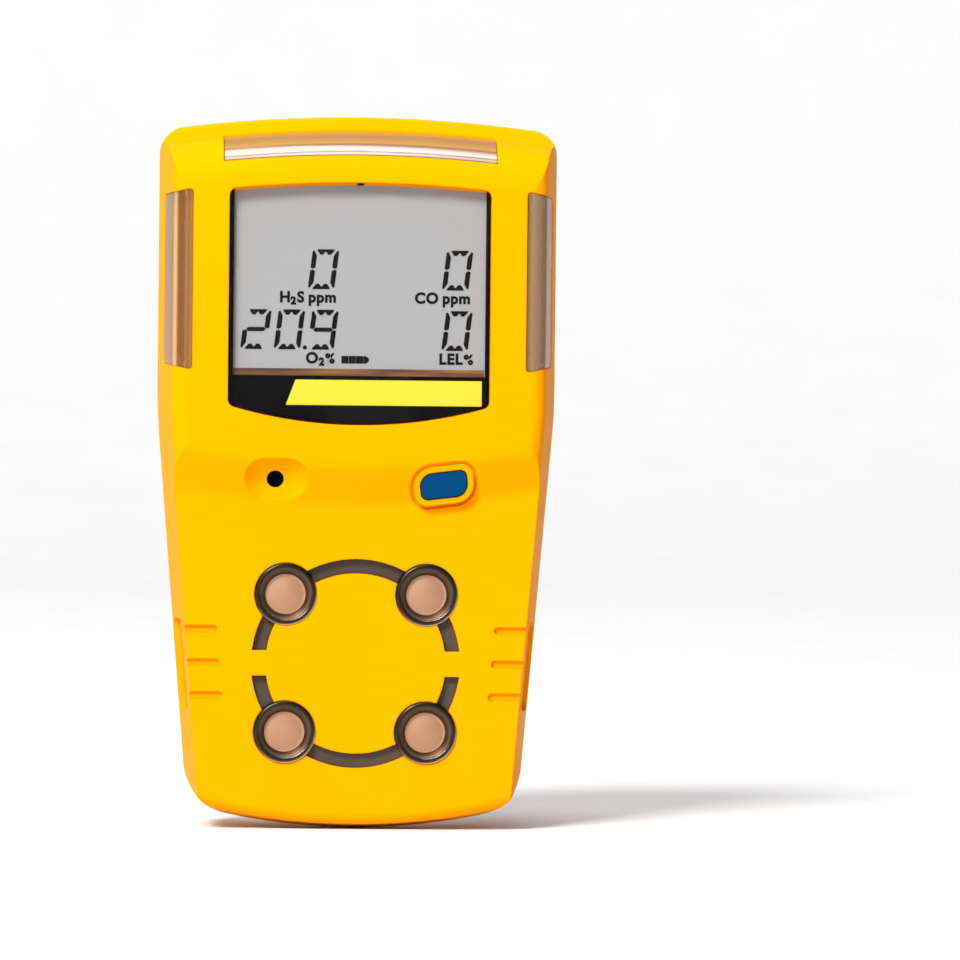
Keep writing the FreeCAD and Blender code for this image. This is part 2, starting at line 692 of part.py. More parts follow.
def slot_ring(depth_y, back_y, trim):
    """The gas channel: a ring crossed by two bridges and by the four ports."""
    outer, inner = SLOT_OUTER_RADIUS - trim, SLOT_INNER_RADIUS + trim
    ring = tube_y(0, PORT_MID_Z, outer, inner, depth_y, back_y)
    bridge = SLOT_BRIDGE_HALF + trim
    ring = ring.cut(box(-FAR, FAR, depth_y, back_y, PORT_MID_Z - bridge, PORT_MID_Z + bridge))
    for x, z in PORTS.values():
        ring = ring.cut(rod_y(x, z, PORT_RADIUS + trim, depth_y, back_y))
    return ring


def scoop():
    """Oval hollow in front of the sounder's hole."""
    ball = (SCOOP_RADIUS ** 2 + SCOOP_DEPTH ** 2) / (2 * SCOOP_DEPTH)
    face_y = -(FACE_DEPTH + LOW_FACE_DEPTH) / 2
    centre_y = face_y + SCOOP_DEPTH - ball
    hollow = rod_x(centre_y, SCOOP_Z, ball, SOUNDER_X - SCOOP_HALF_LENGTH, SOUNDER_X + SCOOP_HALF_LENGTH)
    for side in (-1, 1):
        end = V(SOUNDER_X + side * SCOOP_HALF_LENGTH, centre_y, SCOOP_Z)
        hollow = hollow.fuse(Part.makeSphere(ball, end))
    return hollow


def front_shell():
    ahead = box(-FAR, FAR, -FAR, 0, -FAR, FAR)
    shell = body(0).cut(body(WALL)).common(ahead)
    collar = button_outline(COLLAR_WIDTH, -FACE_DEPTH, PLUNGER_Y).common(behind_button_face(0))
    collar = collar.cut(body(WALL))
    round_collar = button_outline(COLLAR_WIDTH + MOAT_WIDTH, -FAR, 0)
    moat = round_collar.common(skin(0, MOAT_DEPTH)).fuse(round_collar.cut(behind_button_face(0)))
    inside = body(WALL / 2)
    for x, z in screw_places():
        boss = rod_y(x, z, BOSS_RADIUS, -FAR, 0).common(inside)
        hole = rod_y(x, z, INSERT_RADIUS, -INSERT_LENGTH, 0)
        shell = shell.fuse(boss).cut(hole)
    for x, z in BOARD_SCREWS:
        post = rod_y(x, z, POST_RADIUS, -FAR, BOARD_Y).common(inside)
        hole = rod_y(x, z, SCREW_RADIUS, BOARD_Y - BOARD_SCREW_REACH, BOARD_Y)
        shell = shell.fuse(post).cut(hole)
    shell = shell.cut(moat).fuse(collar)
    cuts = [
        seam(),
        case_seal(),
        window_outline(FIT, -FAR, LEDGE_Y),
        window_outline(-LEDGE, -FAR, 0),
        button_outline(BUTTON_FIT, -FAR, BOARD_Y),
        rod_y(SOUNDER_X, SOUNDER_Z, SOUND_HOLE_RADIUS, -FAR, 0),
        scoop(),
        slot_ring(-FAR, -LOW_FACE_DEPTH + SLOT_DEPTH, 0),
        top_bar(FIT).cut(body(LENS_THICK)),
        top_bar(-LENS_LEDGE),
    ]
    for x, z in PORTS.values():
        cuts.append(rod_y(x, z, PORT_RADIUS, -FAR, 0))
    for z in GROOVE_Z:
        outer = side_edge(z) - GROOVE_EDGE_GAP
        ends = [(outer - GROOVE_LENGTH, z - GROOVE_HALF), (outer, z - GROOVE_HALF)]
        ends += [(outer, z + GROOVE_HALF), (outer - GROOVE_LENGTH, z + GROOVE_HALF)]
        groove = slab_y([(x, height, GROOVE_HALF * 0.9) for x, height in ends],
                        -FAR, -LOW_FACE_DEPTH + GROOVE_DEPTH)
        cuts += [groove, mirrored(groove)]
    bar_space = side_bar(FIT).cut(body(LENS_THICK))
    side_cuts = [bar_space, side_bar(-LENS_LEDGE)]
    side_cuts.append(pocket(POCKET_BACK_Y, POCKET_FRONT_Y, 0).common(skin(0, POCKET_DEPTH)))
    for cut in side_cuts:
        cuts += [cut, mirrored(cut)]
    glazed = pocket(SIDE_WINDOW_BACK_Y, POCKET_FRONT_Y, 0)
    depth = SIDE_WINDOW_SINK + SIDE_WINDOW_THICK + CONTACT_THICK
    cuts.append(mirrored(glazed.common(skin(0, depth))))
    for cut in cuts:
        shell = shell.cut(cut)
    return shell


def rear_shell():
    behind = box(-FAR, FAR, 0, FAR, -FAR, FAR)
    shell = body(0).cut(body(WALL)).common(behind)
    inside = body(WALL / 2)
    for side in (-1, 1):
        x = side * RIB_X
        rib = box(x - RIB_HALF_WIDTH, x + RIB_HALF_WIDTH, BATTERY_Y + BATTERY_THICK, FAR,
                  BATTERY_BASE_Z, BATTERY_BASE_Z + BATTERY_HEIGHT)
        shell = shell.fuse(rib.common(inside))
    insert_y = BACK_DEPTH - CLIP_INSERT_LENGTH
    boss = rod_y(0, CLIP_SCREW_Z, CLIP_BOSS_RADIUS, insert_y, BACK_DEPTH - WALL / 2)
    shell = shell.fuse(boss).cut(rod_y(0, CLIP_SCREW_Z, CLIP_INSERT_RADIUS, insert_y, FAR))
    for x, z in screw_places():
        boss = rod_y(x, z, BOSS_RADIUS, 0, FAR).common(inside)
        shank = rod_y(x, z, SCREW_RADIUS + FIT, -1, FAR)
        well = rod_y(x, z, SCREW_HEAD_RADIUS + SCREW_HEAD_FIT, SCREW_SEAT_Y, FAR)
        shell = shell.fuse(boss).cut(shank).cut(well)
    cuts = [seam(), case_seal(), rear_label()]
    for x, z in PORTS.values():
        cuts.append(rod_y(x, z, SENSOR_RADIUS + FIT, SENSOR_Y, SENSOR_BACK_Y))
    for z in GROOVE_Z:
        near, far = SIDE_GROOVE_NEAR_Y, SIDE_GROOVE_FAR_Y
        low, high = z - GROOVE_HALF, z + GROOVE_HALF
        ends = [(near, low), (near, high), (far, high), (far, low)]
        groove = slab_x([(y, height, GROOVE_HALF * 0.9) for y, height in ends], 0, FAR)
        groove = groove.common(skin(0, GROOVE_DEPTH))
        cuts += [groove, mirrored(groove)]
    for cut in cuts:
        shell = shell.cut(cut)
    return shell


def rear_label():
    sheet = slab_y(
        [(-LABEL_HALF_WIDTH, LABEL_BASE_Z, 1.5), (LABEL_HALF_WIDTH, LABEL_BASE_Z, 1.5),
         (LABEL_HALF_WIDTH, LABEL_TOP_Z, 1.5), (-LABEL_HALF_WIDTH, LABEL_TOP_Z, 1.5)],
        NECK_DEPTH, FAR,
    )
    return sheet.common(skin(0, LABEL_THICK))


def case_screws():
    screws = []
    for x, z in screw_places():
        shank = rod_y(x, z, SCREW_RADIUS - THREAD_FIT, -SCREW_REACH, SCREW_SEAT_Y)
        head = rod_y(x, z, SCREW_HEAD_RADIUS, SCREW_SEAT_Y, SCREW_SEAT_Y + SCREW_HEAD)
        socket = slab_y(hexagon(x, z, SCREW_HEAD_RADIUS / 2), SCREW_SEAT_Y + SCREW_HEAD / 2, FAR)
        screws.append(shank.fuse(head).cut(socket))
    return Part.makeCompound(screws)


def hexagon(x, z, radius):
    angles = [math.radians(60 * i) for i in range(6)]
    return [(x + radius * math.cos(a), z + radius * math.sin(a), 0) for a in angles]


def case_inserts():
    return Part.makeCompound([
        tube_y(x, z, INSERT_RADIUS, SCREW_RADIUS, -INSERT_LENGTH, 0) for x, z in screw_places()
    ])


# ---------------------------------------------------------------- display
def display_window():
    return window_outline(0, WINDOW_Y, MASK_Y)


def display_mask():
    """Black border down both sides and along the foot of the view, open at the top."""
    view = box(-VIEW_HALF_WIDTH, VIEW_HALF_WIDTH, -FAR, FAR, VIEW_BASE_Z, FAR)
    return window_outline(0, MASK_Y, LEDGE_Y).cut(view)


def lcd_glass():
    return box(-GLASS_HALF_WIDTH, GLASS_HALF_WIDTH, GLASS_Y, BACKLIGHT_Y, GLASS_BASE_Z, GLASS_TOP_Z)


def lcd_backlight():
    base = GLASS_BASE_Z + STRIP_HEIGHT + FIT
    return box(-GLASS_HALF_WIDTH, GLASS_HALF_WIDTH, BACKLIGHT_Y, BACKLIGHT_BACK_Y, base, GLASS_TOP_Z)


def lcd_connector():
    return box(-STRIP_HALF_WIDTH, STRIP_HALF_WIDTH, BACKLIGHT_Y, BOARD_Y,
               GLASS_BASE_Z, GLASS_BASE_Z + STRIP_HEIGHT)


def display_holder():
    half, low, high = GLASS_HALF_WIDTH + FIT, GLASS_BASE_Z - FIT, GLASS_TOP_Z + FIT
    wall, lip = HOLDER_WALL, HOLDER_LIP
    frame = box(-half - wall, half + wall, GLASS_Y, BOARD_Y, low - wall, high + wall)
    frame = frame.cut(box(-half, half, -FAR, BACKLIGHT_BACK_Y, low, high))
    strip_top = low + STRIP_HEIGHT + 2 * FIT
    frame = frame.cut(box(-STRIP_HALF_WIDTH - FIT, STRIP_HALF_WIDTH + FIT, -FAR, FAR, low, strip_top))
    frame = frame.cut(box(-half + lip, half - lip, -FAR, FAR, strip_top + lip, high - lip))
    return frame


# ---------------------------------------------------------------- alarm bars
def top_lens():
    return skin(LENS_SINK, LENS_THICK).common(top_bar(0))


def right_lens():
    return skin(LENS_SINK, LENS_THICK).common(side_bar(0))


def top_tray_space(grow):
    """Arched room behind the top bar, open to it."""
    top = TOP_RADIUS
    low = top - TOP_TRAY_DROP - grow
    half = TOP_TRAY_HALF_WIDTH + grow
    room = box(-half, half, TOP_TRAY_FRONT_Y - grow, TOP_TRAY_BACK_Y + grow, HEIGHT / 2, HEIGHT)
    return room.cut(rod_y(0, HEIGHT - TOP_RADIUS, low, -FAR, FAR))


def top_reflector():
    return top_tray_space(0).common(body(WALL)).cut(top_tray_space(-TRAY_WALL))


def side_tray_space(wall):
    low = SIDE_LENS_BASE_Z + SIDE_TRAY_MARGIN + wall
    high = SIDE_LENS_TOP_Z - SIDE_TRAY_MARGIN - wall
    return box(SIDE_TRAY_X + wall, FAR, -FAR, SIDE_TRAY_Y - wall, low, high)


def right_reflector():
    return side_tray_space(0).common(body(WALL)).cut(side_tray_space(TRAY_WALL))


def light_pipes():
    y, drop = TOP_PIPE
    radius = TOP_RADIUS - drop
    circle = Part.Wire([Part.Circle(V(0, y, HEIGHT - drop), V(1, 0, 0), PIPE_RADIUS).toShape()])
    half = math.degrees((TOP_TRAY_HALF_WIDTH - TRAY_WALL) / radius)
    centre = V(0, 0, HEIGHT - TOP_RADIUS)
    face = Part.Face(circle)
    face.rotate(centre, V(0, 1, 0), -half)
    bent = face.revolve(centre, V(0, 1, 0), 2 * half)
    bent = bent.common(top_tray_space(-TRAY_WALL))
    x = SIDE_TRAY_X + TRAY_WALL + PIPE_RADIUS
    margin = SIDE_TRAY_MARGIN + TRAY_WALL + PIPE_END_GAP
    low, high = SIDE_LENS_BASE_Z + margin, SIDE_LENS_TOP_Z - margin
    straight = rod_z(x, SIDE_PIPE_Y, PIPE_RADIUS, low, high).common(body(WALL))
    return Part.makeCompound([bent, straight, mirrored(straight)])


def alarm_leds():
    lamps = []
    back = SIDE_TRAY_Y - TRAY_WALL
    for z in SIDE_LED_Z:
        x = SIDE_TRAY_X + TRAY_WALL
        lamp = box(x, x + LED_SIZE, back - LED_THICK, back, z, z + LED_SIZE)
        lamps += [lamp, mirrored(lamp)]
    back = TOP_TRAY_BACK_Y - TRAY_WALL
    low = HEIGHT - TOP_PIPE[1] - LED_SIZE / 2
    for x in TOP_LED_X:
        lamps.append(box(x - LED_SIZE / 2, x + LED_SIZE / 2, back - LED_THICK, back, low, low + LED_SIZE))
    return Part.makeCompound(lamps)


# ---------------------------------------------------------------- boards and what is on them
def board_outline(y0, y1, low, high):
    board = body(WALL + BOARD_GAP).common(box(-FAR, FAR, y0, y1, low, high))
    for x, z in screw_places():
        board = board.cut(rod_y(x, z, BOSS_RADIUS + BOSS_FIT, y0, y1))
    return board


def main_board():
    board = board_outline(BOARD_Y, BOARD_BACK_Y, BOARD_BASE_Z, FAR)
    for x, z in BOARD_SCREWS:
        board = board.cut(rod_y(x, z, SCREW_RADIUS + FIT, BOARD_Y, BOARD_BACK_Y))
    return board


def board_screws():
    screws = []
    for x, z in BOARD_SCREWS:
        shank = rod_y(x, z, SCREW_RADIUS, BOARD_Y - BOARD_SCREW_REACH, BOARD_BACK_Y)
        head = rod_y(x, z, SCREW_HEAD_RADIUS, BOARD_BACK_Y, BOARD_BACK_Y + SCREW_HEAD / 2)
        screws.append(shank.fuse(head))
    return Part.makeCompound(screws)


def chip(x):
    half = CHIP_SIZE / 2
    return box(x - half, x + half, BOARD_Y - CHIP_THICK, BOARD_Y, CHIP_BASE_Z, CHIP_BASE_Z + CHIP_SIZE)


def sensor_board():
    return board_outline(SENSOR_BOARD_Y, SENSOR_BOARD_Y + BOARD_THICK, -FAR, SENSOR_BOARD_TOP_Z)


def board_link():
    return box(-LINK_HALF_WIDTH, LINK_HALF_WIDTH, BOARD_BACK_Y, SENSOR_BOARD_Y, LINK_BASE_Z, LINK_TOP_Z)


def battery():
    half = BATTERY_WIDTH / 2
    high = BATTERY_BASE_Z + BATTERY_HEIGHT
    cell = box(-half, half, BATTERY_Y, BATTERY_Y + BATTERY_THICK, BATTERY_BASE_Z, high)
    upright = [e for e in cell.Edges if abs(e.Vertexes[0].Z - e.Vertexes[-1].Z) > BATTERY_HEIGHT / 2]
    return cell.makeFillet(BATTERY_THICK / 3, upright)


def battery_pad():
    return box(-PAD_HALF_WIDTH, PAD_HALF_WIDTH, BOARD_BACK_Y, BATTERY_Y, PAD_BASE_Z, PAD_TOP_Z)


def battery_terminals():
    tabs = []
    for side in (-1, 1):
        x = side * TERMINAL_X
        tabs.append(box(x - TERMINAL_HALF_WIDTH, x + TERMINAL_HALF_WIDTH, BOARD_BACK_Y, BATTERY_Y,
                        BATTERY_BASE_Z, BATTERY_BASE_Z + TERMINAL_HEIGHT))
    return Part.makeCompound(tabs)


def motor_can():
    can = rod_x(MOTOR_Y, MOTOR_Z, MOTOR_RADIUS, MOTOR_X, MOTOR_X + MOTOR_LENGTH)
    bore = rod_x(MOTOR_Y, MOTOR_Z, SHAFT_RADIUS + SHAFT_FIT, MOTOR_X, MOTOR_X + SHAFT_DEPTH + FIT)
    return can.cut(bore)


def motor_boot():
    half = MOTOR_RADIUS + BOOT_WALL
    block = box(MOTOR_X + 1, MOTOR_X + MOTOR_LENGTH - 1, BOARD_BACK_Y, MOTOR_Y + MOTOR_RADIUS / 2,
                MOTOR_Z - half, MOTOR_Z + half)
    return block.cut(rod_x(MOTOR_Y, MOTOR_Z, MOTOR_RADIUS, MOTOR_X, MOTOR_X + MOTOR_LENGTH))


def motor_weight():
    end = MOTOR_X - WEIGHT_GAP
    start = end - WEIGHT_LENGTH
    disc = rod_x(MOTOR_Y, MOTOR_Z, WEIGHT_RADIUS, start, end)
    disc = disc.cut(box(start, end, -FAR, FAR, MOTOR_Z + SHAFT_RADIUS, FAR))
    hub = rod_x(MOTOR_Y, MOTOR_Z, 2 * SHAFT_RADIUS, start, end)
    return disc.fuse(hub).fuse(rod_x(MOTOR_Y, MOTOR_Z, SHAFT_RADIUS, start, MOTOR_X + SHAFT_DEPTH))


# ---------------------------------------------------------------- button and sounder
def power_button():
    cap = button_outline(0, -FACE_DEPTH, BUTTON_BACK_Y).common(behind_button_face(BUTTON_PROUD))
    flange = button_outline(BUTTON_FLANGE, BUTTON_BACK_Y - BUTTON_FLANGE_THICK, BUTTON_BACK_Y)
    nub = rod_y(BUTTON_X, BUTTON_Z, NUB_RADIUS, BUTTON_BACK_Y, PLUNGER_Y - SHAFT_FIT)
    return cap.fuse(flange).fuse(nub)


def switch_body():
    half = SWITCH_SIZE / 2
    block = box(BUTTON_X - half, BUTTON_X + half, SWITCH_Y, BOARD_Y, BUTTON_Z - half, BUTTON_Z + half)
    depth = PLUNGER_SUNK + BUTTON_TRAVEL + FIT
    return block.cut(rod_y(BUTTON_X, BUTTON_Z, PLUNGER_RADIUS + PLUNGER_FIT, SWITCH_Y, SWITCH_Y + depth))


def switch_plunger():
    return rod_y(BUTTON_X, BUTTON_Z, PLUNGER_RADIUS, PLUNGER_Y, SWITCH_Y + PLUNGER_SUNK)


def sounder():
    can = rod_y(SOUNDER_X, SOUNDER_Z, SOUNDER_RADIUS, BOARD_Y - SOUNDER_HEIGHT, BOARD_Y)
    hole = rod_y(SOUNDER_X, SOUNDER_Z, SOUND_HOLE_RADIUS, -FAR, BOARD_Y - SOUNDER_HEIGHT / 2)
    return can.cut(hole)


def sounder_seal():
    tube = tube_y(SOUNDER_X, SOUNDER_Z, SOUND_TUBE_RADIUS, SOUND_HOLE_RADIUS, -FAR, BOARD_Y - SOUNDER_HEIGHT)
    return tube.common(body(WALL))


# ---------------------------------------------------------------- gas sensors
def sensor(x, z):
    can = turned_y(x, z, [
        (0, SENSOR_Y, 0), (SENSOR_RADIUS, SENSOR_Y, 0.6),
        (SENSOR_RADIUS, SENSOR_BACK_Y, 0.6), (0, SENSOR_BACK_Y, 0),
    ])
    for i in range(3):
        angle = math.radians(90 + 120 * i)
        pin_x, pin_z = x + PIN_OUT_RING * math.cos(angle), z + PIN_OUT_RING * math.sin(angle)
        can = can.fuse(rod_y(pin_x, pin_z, PIN_OUT_RADIUS, SENSOR_BACK_Y - 1, SENSOR_BOARD_Y))
    return can


def sensor_rings():
    outer = PORT_RADIUS - RING_FIT
    back = -LOW_FACE_DEPTH + WALL
    face = -LOW_FACE_DEPTH - RING_PROUD
    shelf = -LOW_FACE_DEPTH + FILTER_FACE + FILTER_THICK
    hole = FILTER_RADIUS - FILTER_SHELF
    corners = [
        (outer, back, 0), (outer, face, 0.4), (RING_LIP_RADIUS, face, 0.3),
        (FILTER_RADIUS, shelf - FILTER_THICK, 0), (FILTER_RADIUS, shelf, 0),
        (hole, shelf, 0), (hole, back, 0),
    ]
    return Part.makeCompound([turned_y(x, z, corners) for x, z in PORTS.values()])


def sensor_filters():
    back = -LOW_FACE_DEPTH + FILTER_FACE + FILTER_THICK
    return Part.makeCompound([
        rod_y(x, z, FILTER_RADIUS - RING_FIT, back - FILTER_THICK, back) for x, z in PORTS.values()
    ])


def sensor_gasket():
    y0, y1 = -LOW_FACE_DEPTH + WALL, SENSOR_Y
    sheet = rod_y(0, PORT_MID_Z, SLOT_OUTER_RADIUS + PORT_RADIUS, y0, y1)
    sheet = sheet.common(outline_prism(WALL + BOARD_GAP, y0, y1)).common(body(WALL))
    for x, z in PORTS.values():
        sheet = sheet.cut(rod_y(x, z, FILTER_RADIUS, y0, y1))
    return sheet


def sensor_carrier():
    frame = board_outline(CARRIER_Y, CARRIER_Y + CARRIER_THICK, -FAR, CARRIER_TOP_Z)
    for x, z in PORTS.values():
        frame = frame.cut(rod_y(x, z, SENSOR_RADIUS, CARRIER_Y, CARRIER_Y + CARRIER_THICK))
    return frame


def channel_strips():
    floor = -LOW_FACE_DEPTH + SLOT_DEPTH
    return slot_ring(floor - STRIP_THICK, floor, FIT / 2)


# ---------------------------------------------------------------- side window
def side_window():
    pane = pocket(SIDE_WINDOW_BACK_Y, POCKET_FRONT_Y, -FIT / 2)
    return mirrored(pane.common(skin(SIDE_WINDOW_SINK, SIDE_WINDOW_SINK + SIDE_WINDOW_THICK)))


def charging_contacts():
    depth = SIDE_WINDOW_SINK + SIDE_WINDOW_THICK
    sheet = pocket(SIDE_WINDOW_BACK_Y, POCKET_FRONT_Y, -FIT / 2)
    sheet = mirrored(sheet.common(skin(depth, depth + CONTACT_THICK)))
    middle = (POCKET_TOP_Z + POCKET_BASE_Z) / 2
    gap = box(-FAR, FAR, -FAR, FAR, middle - CONTACT_GAP / 2, middle + CONTACT_GAP / 2)
    return sheet.cut(gap)


# ---------------------------------------------------------------- clip
def from_pivot(corners):
    return [(PIVOT_Y + y, PIVOT_Z + z, radius) for y, z, radius in corners]


def ear():
    low_front, low_back = EAR_FOOT
    corners = [(PLATE_Y, PIVOT_Z + low_front, 0), (PLATE_BACK_Y, PIVOT_Z + low_back, 0.8)]
    corners += from_pivot(EAR_SIDE)
    corners += [(PLATE_BACK_Y, PLATE_TOP_Z, 0.5), (PLATE_Y, PLATE_TOP_Z, 0)]
    sheet = slab_x(corners, CLIP_HALF_WIDTH - EAR_THICK, CLIP_HALF_WIDTH)
    return sheet.cut(rod_x(PIVOT_Y, PIVOT_Z, RIVET_RADIUS, -FAR, FAR))


def clip_screw_hole():
    return rod_y(0, CLIP_SCREW_Z, CLIP_SCREW_RADIUS + FIT, -FAR, FAR)


def clip_plate():
    half = CLIP_HALF_WIDTH
    foot = [(x, PLATE_BASE_Z, PLATE_CORNER) for x in (-half, half)]
    head = [(x, PLATE_TOP_Z, PLATE_CORNER / 2) for x in (half, -half)]
    plate = slab_y(foot + head, PLATE_Y, PLATE_BACK_Y)
    root, end, top = PLATE_BACK_Y - FIT, PLATE_BACK_Y + HOOK_REACH, PLATE_BASE_Z + HOOK_THICK
    hook = [(root, PLATE_BASE_Z, 0), (end, PLATE_BASE_Z, 0.3), (end, top, 0.3), (root, top, 0)]
    plate = plate.fuse(slab_x(hook, PLATE_CORNER - half, half - PLATE_CORNER))
    slot_half = LIP_HALF_WIDTH + LIP_SIDE_GAP
    slot = box(-slot_half, slot_half, PLATE_Y, PLATE_BACK_Y,
               LIP_Z - LIP_THICK - SLOT_BASE_GAP, LIP_Z + SLOT_TOP_GAP)
    plate = plate.cut(slot).cut(clip_screw_hole())
    roll_x, roll_y = half - ROLL_RADIUS, PLATE_Y + ROLL_RADIUS
    low, high = PIVOT_Z + ROLL_BASE, PIVOT_Z + ROLL_TOP
    roll = rod_z(roll_x, roll_y, ROLL_RADIUS, low, high)
    groove = rod_z(roll_x, roll_y, ROLL_HOLE, low, high)
    for shape in (roll, mirrored(roll), ear(), mirrored(ear())):
        plate = plate.fuse(shape)
    return plate.cut(groove).cut(mirrored(groove))


def clip_strap():
    """Strap under the plate, folded over above it into a loop."""
    near, far, sheet = BACK_DEPTH, PLATE_Y, STRAP_THICK
    low, high = PIVOT_Z + STRAP_BASE, PIVOT_Z + STRAP_TOP
    end, bulge = PIVOT_Z + LOOP_BASE, PIVOT_Z + LOOP_BASE + LOOP_BULGE
    outside = far + LOOP_DEPTH
    corners = [
        (near, low, 0), (near, high, 0.8), (far + 2 * sheet, high, 0.8),
        (outside, bulge, 1.5), (outside - 0.8, end, 0), (outside - 0.8 - sheet, end, 0),
        (outside - sheet, bulge, 1.0), (far + sheet, high - sheet, 0.2), (far, high - sheet, 0.2),
        (far, low, 0),
    ]
    return slab_x(corners, -STRAP_HALF_WIDTH, STRAP_HALF_WIDTH).cut(clip_screw_hole())


def toothed_lip():
    """The jaw's lip, with teeth on the edge that meets the plate's slot."""
    half, end = LIP_HALF_WIDTH, PLATE_Y
    lip = box(-half, half, end, CLIP_REACH - LIP_ROOT, LIP_Z - LIP_THICK, LIP_Z)
    count = int(2 * half / TOOTH_PITCH)
    reach = (TOOTH_PITCH - TOOTH_FLAT) / 2
    for i in range(count):
        x = (i - (count - 1) / 2) * TOOTH_PITCH
        valley = [
            (x - reach, end - 1, 0), (x + reach, end - 1, 0), (x + reach, end, 0),
            (x, end + TOOTH_DEPTH, 0), (x - reach, end, 0),
        ]
        lip = lip.cut(slab_z(valley, LIP_Z - LIP_THICK, LIP_Z))
    return lip


def clip_jaw():
    jaw = slab_x(from_pivot(JAW_SIDE), -CHEEK_OUT_X, CHEEK_OUT_X)
    room = slab_x(from_pivot(JAW_INSIDE), -CHEEK_IN_X, CHEEK_IN_X)
    room = room.cut(box(-FAR, FAR, 0, PIVOT_Y + TAB_DEPTH, PIVOT_Z + TAB_SHEET_BASE, FAR))
    tab_inner = STRAP_HALF_WIDTH + TAB_FIT
    between_tabs = box(-tab_inner, tab_inner, 0, PIVOT_Y - RIVET_RADIUS, PIVOT_Z + TAB_BASE, FAR)
    windows = slab_x(from_pivot(CHEEK_WINDOW), -CHEEK_OUT_X, CHEEK_OUT_X)
    windows = windows.cut(box(-CHEEK_IN_X, CHEEK_IN_X, 0, FAR, 0, FAR))
    for cut in (room, between_tabs, windows):
        jaw = jaw.cut(cut)
    jaw = jaw.fuse(toothed_lip())
    return jaw.cut(rod_x(PIVOT_Y, PIVOT_Z, RIVET_RADIUS + RIVET_FIT, -FAR, FAR))


def clip_rivet():
    reach = CLIP_HALF_WIDTH
    rivet = rod_x(PIVOT_Y, PIVOT_Z, RIVET_RADIUS, -reach, reach)
    head = turned_x(PIVOT_Y, PIVOT_Z, [
        (0, reach, 0), (RIVET_HEAD_RADIUS, reach, 0), (RIVET_HEAD_RADIUS, reach + RIVET_HEAD, 0.5),
        (0, reach + RIVET_HEAD, 0),
    ])
    return rivet.fuse(head).fuse(mirrored(head))


def clip_spring():
    """Close-wound torsion spring on the rivet, one leg on the plate and one on the jaw."""
    start = -COIL_COUNT * WIRE / 2
    corners = [(COIL_HOLE, start, 0)]
    for i in range(COIL_COUNT):
        x = start + i * WIRE
        corners += [(COIL_RADIUS - WIRE / 4, x, 0), (COIL_RADIUS, x + WIRE / 2, 0)]
    corners += [(COIL_RADIUS - WIRE / 4, -start, 0), (COIL_HOLE, -start, 0)]
    coil = turned_x(PIVOT_Y, PIVOT_Z, corners)
    ring = (COIL_RADIUS + COIL_HOLE) / 2
    for side, end, angle in zip((-1, 1), LEG_END, LEG_ANGLE):
        y = PIVOT_Y + side * ring
        leg = rod_z(side * (-start - WIRE / 2), y, WIRE / 2, PIVOT_Z + end, PIVOT_Z)
        leg.rotate(V(0, y, PIVOT_Z), V(1, 0, 0), angle)
        coil = coil.fuse(leg)
    return coil


def clip_screw():
    washer_back = PLATE_BACK_Y + WASHER_THICK
    reach = BACK_DEPTH - CLIP_SCREW_REACH
    shank = rod_y(0, CLIP_SCREW_Z, CLIP_SCREW_RADIUS - THREAD_FIT, reach, washer_back)
    head = turned_y(0, CLIP_SCREW_Z, [
        (0, washer_back, 0), (CLIP_HEAD_RADIUS, washer_back, 0),
        (CLIP_HEAD_RADIUS, washer_back + CLIP_HEAD, 0.9), (0, washer_back + CLIP_HEAD, 0),
    ])
    socket = slab_y(hexagon(0, CLIP_SCREW_Z, CLIP_HEAD_RADIUS / 2), washer_back + CLIP_HEAD / 2, FAR)
    return shank.fuse(head).cut(socket)


def clip_washer():
    hole = CLIP_SCREW_RADIUS + FIT
    return tube_y(0, CLIP_SCREW_Z, WASHER_RADIUS, hole, PLATE_BACK_Y, PLATE_BACK_Y + WASHER_THICK)


def clip_insert():
    front = BACK_DEPTH - CLIP_INSERT_LENGTH
    return tube_y(0, CLIP_SCREW_Z, CLIP_INSERT_RADIUS, CLIP_SCREW_RADIUS, front, BACK_DEPTH)


# ---------------------------------------------------------------- export
def write(name, shape):
    shape = shape.copy()
    shape.translate(V(0, SHIFT_Y, 0))
    solids = shape.Solids
    if not solids or not all(s.isValid() and s.Volume > 0 for s in solids):
        raise ValueError(f"{name}: {len(solids)} solids, valid {[s.isValid() for s in solids]}")
    made = solids[0] if len(solids) == 1 else Part.makeCompound(solids)
    made.exportStep(f"parts/{name}.step")
    print(f"{name:28s} solids {len(solids):2d}  volume {sum(s.Volume for s in solids):10.2f}")


